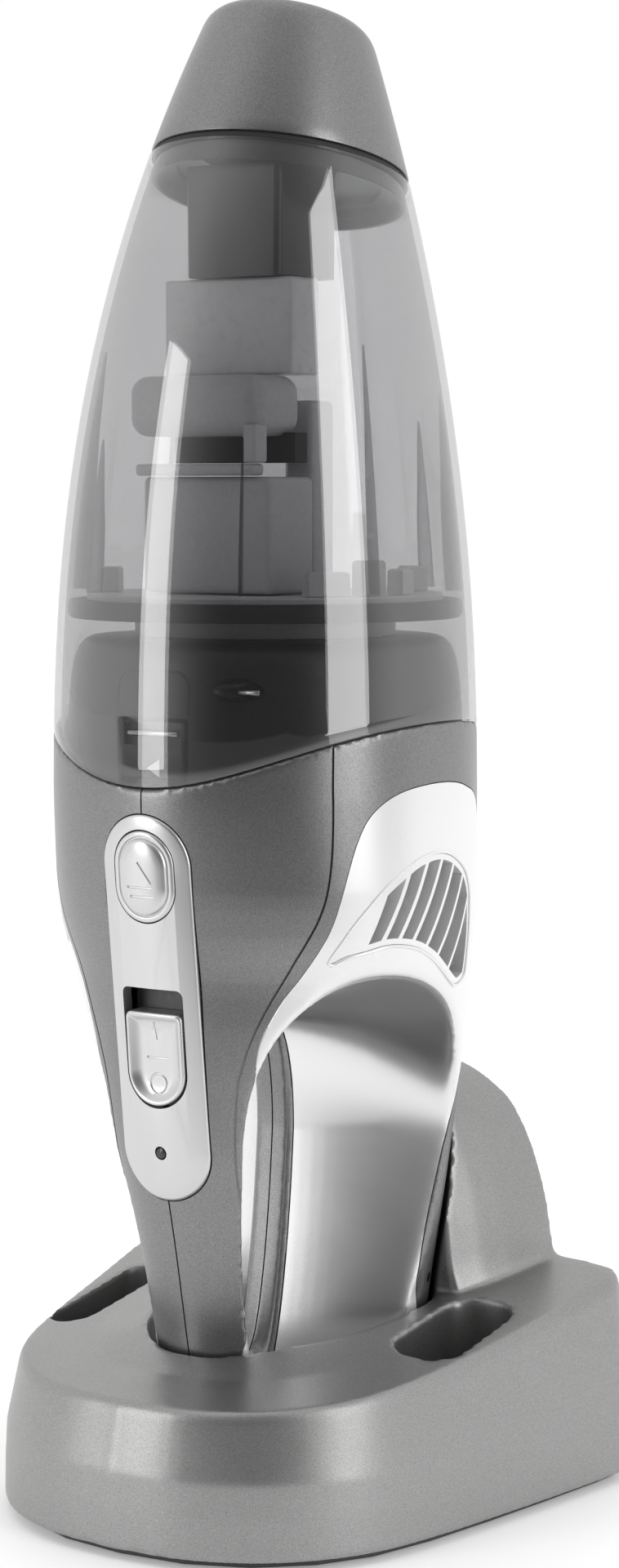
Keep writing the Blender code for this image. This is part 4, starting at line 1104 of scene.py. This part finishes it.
def base_pieces():
    shell = base_form("base_housing", 0, 0, 2.9)
    arm = bell_arm("arm")
    shell = boolean(shell, "UNION", arm)
    drop(arm)
    cutters = [dock_form("dock", 1.3, 14.0, 140),
               prism("slot_r", [(53.8 + x, y) for x, y in stadium(10.2, -6, 36.6, 9.0)], "Z", 13, 90),
               prism("slot_l", [(-57.0 + x, y) for x, y in stadium(6.8, -21, 26, 6.7)], "Z", 13, 90)]
    shell = carve(shell, *cutters)
    shell = softened(moulded(shell, VOXEL, 8 if FINE else 4), arm_weight, 40 if FINE else 15)
    jack = rod("jack", (30, 74, 12), 4.3, 20, "Y")
    contacts = block("contacts", (-12, 22, -5), (12, 36, 20))
    shell = carve(shell, jack, contacts)
    add(shell, "base", "base_silver", BASE_SILVER, "base_shell")


# ---------------------------------------------------------------- stage, light and camera

VIEW_AZ = math.radians(34.0)
VIEW_DISTANCE, EYE_Z = 915.0, 286.0
EYE_YAW, EYE_PITCH = math.radians(0.816), math.radians(5.18)


def front_shade(nodes, links, coordinates, limits):
    """A tone that falls smoothly towards the side that the object's front faces."""
    place = nodes.new("ShaderNodeTexCoord")
    ahead = nodes.new("ShaderNodeVectorMath")
    ahead.operation = "DOT_PRODUCT"
    ahead.inputs[1].default_value = (math.sin(VIEW_AZ), -math.cos(VIEW_AZ), 0.0)
    links.new(place.outputs[coordinates], ahead.inputs[0])
    return mapped(nodes, links, ahead.outputs["Value"], limits, "SMOOTHSTEP")


def world_light():
    """White studio all round, with a darker opening on the side the front faces."""
    world = bpy.data.worlds.new("studio")
    bpy.context.scene.world = world
    world.use_nodes = True
    nodes, links = world.node_tree.nodes, world.node_tree.links
    back = nodes["Background"]
    links.new(front_shade(nodes, links, "Generated", (0.15, 0.97, 1.0, 0.07)), back.inputs["Color"])
    back.inputs["Strength"].default_value = 1.0


def softbox(name, azimuth, distance, centre_z, width, height, radiance):
    """An upright lamp that faces the axis; its sizes and place are in metres."""
    lamp = bpy.data.lights.new(name, "AREA")
    lamp.shape = "RECTANGLE"
    lamp.size, lamp.size_y = width, height
    lamp.energy = radiance * math.pi * width * height
    obj = bpy.data.objects.new(name, lamp)
    bpy.context.scene.collection.objects.link(obj)
    obj.location = around(distance, math.radians(azimuth), centre_z, 0.0)
    aim = Vector((0, 0, centre_z)) - obj.location
    obj.rotation_euler = aim.to_track_quat("-Z", "Y").to_euler()
    obj.visible_camera = False


def studio():
    bm = bmesh.new()
    bmesh.ops.create_grid(bm, x_segments=8, y_segments=8, size=6.0)
    floor = from_bmesh("studio_floor", bm)
    # Painted light and shade: the floor glows, and its colour and glow fall from pale behind the object to
    # dark on the side its front faces, painted shade for the studio's dark opening.
    made, nodes, links, main = shader("pale_floor", (0.93, 0.93, 0.93), 0.6)
    main.inputs["Emission Strength"].default_value = 0.25
    tone = front_shade(nodes, links, "Object", (0.2, 0.65, 0.93, 0.16))
    links.new(tone, main.inputs["Base Color"])
    links.new(tone, main.inputs["Emission Color"])
    floor.data.materials.append(made)
    world_light()
    softbox("strip_left", -28.5, 1.35, 0.47, 0.38, 0.95, 3.2)
    softbox("strip_right", 78.5, 1.35, 0.72, 0.55, 1.45, 2.8)


def camera():
    data = bpy.data.cameras.new("camera")
    data.lens, data.sensor_width = 75.0, 36.0
    data.clip_start = 0.01
    obj = bpy.data.objects.new("camera", data)
    bpy.context.scene.collection.objects.link(obj)
    obj.location = Vector(around(VIEW_DISTANCE, VIEW_AZ, EYE_Z, 0.0)) * MM
    look = Vector(around(-math.cos(EYE_PITCH), VIEW_AZ - EYE_YAW, -math.sin(EYE_PITCH), 0.0))
    obj.rotation_euler = look.to_track_quat("-Z", "Y").to_euler()
    bpy.context.scene.camera = obj


dress_cad_nodes()
nozzle_pieces()
collar_piece()
cup_pieces()
tower_pieces()
seal_pieces()
bulkhead_pieces()
latch_pieces()
casing_pieces()
vent_pieces()
control_pieces()
spring_pieces()
base_pieces()
studio()
camera()

bpy.context.scene.view_settings.view_transform = "Standard"
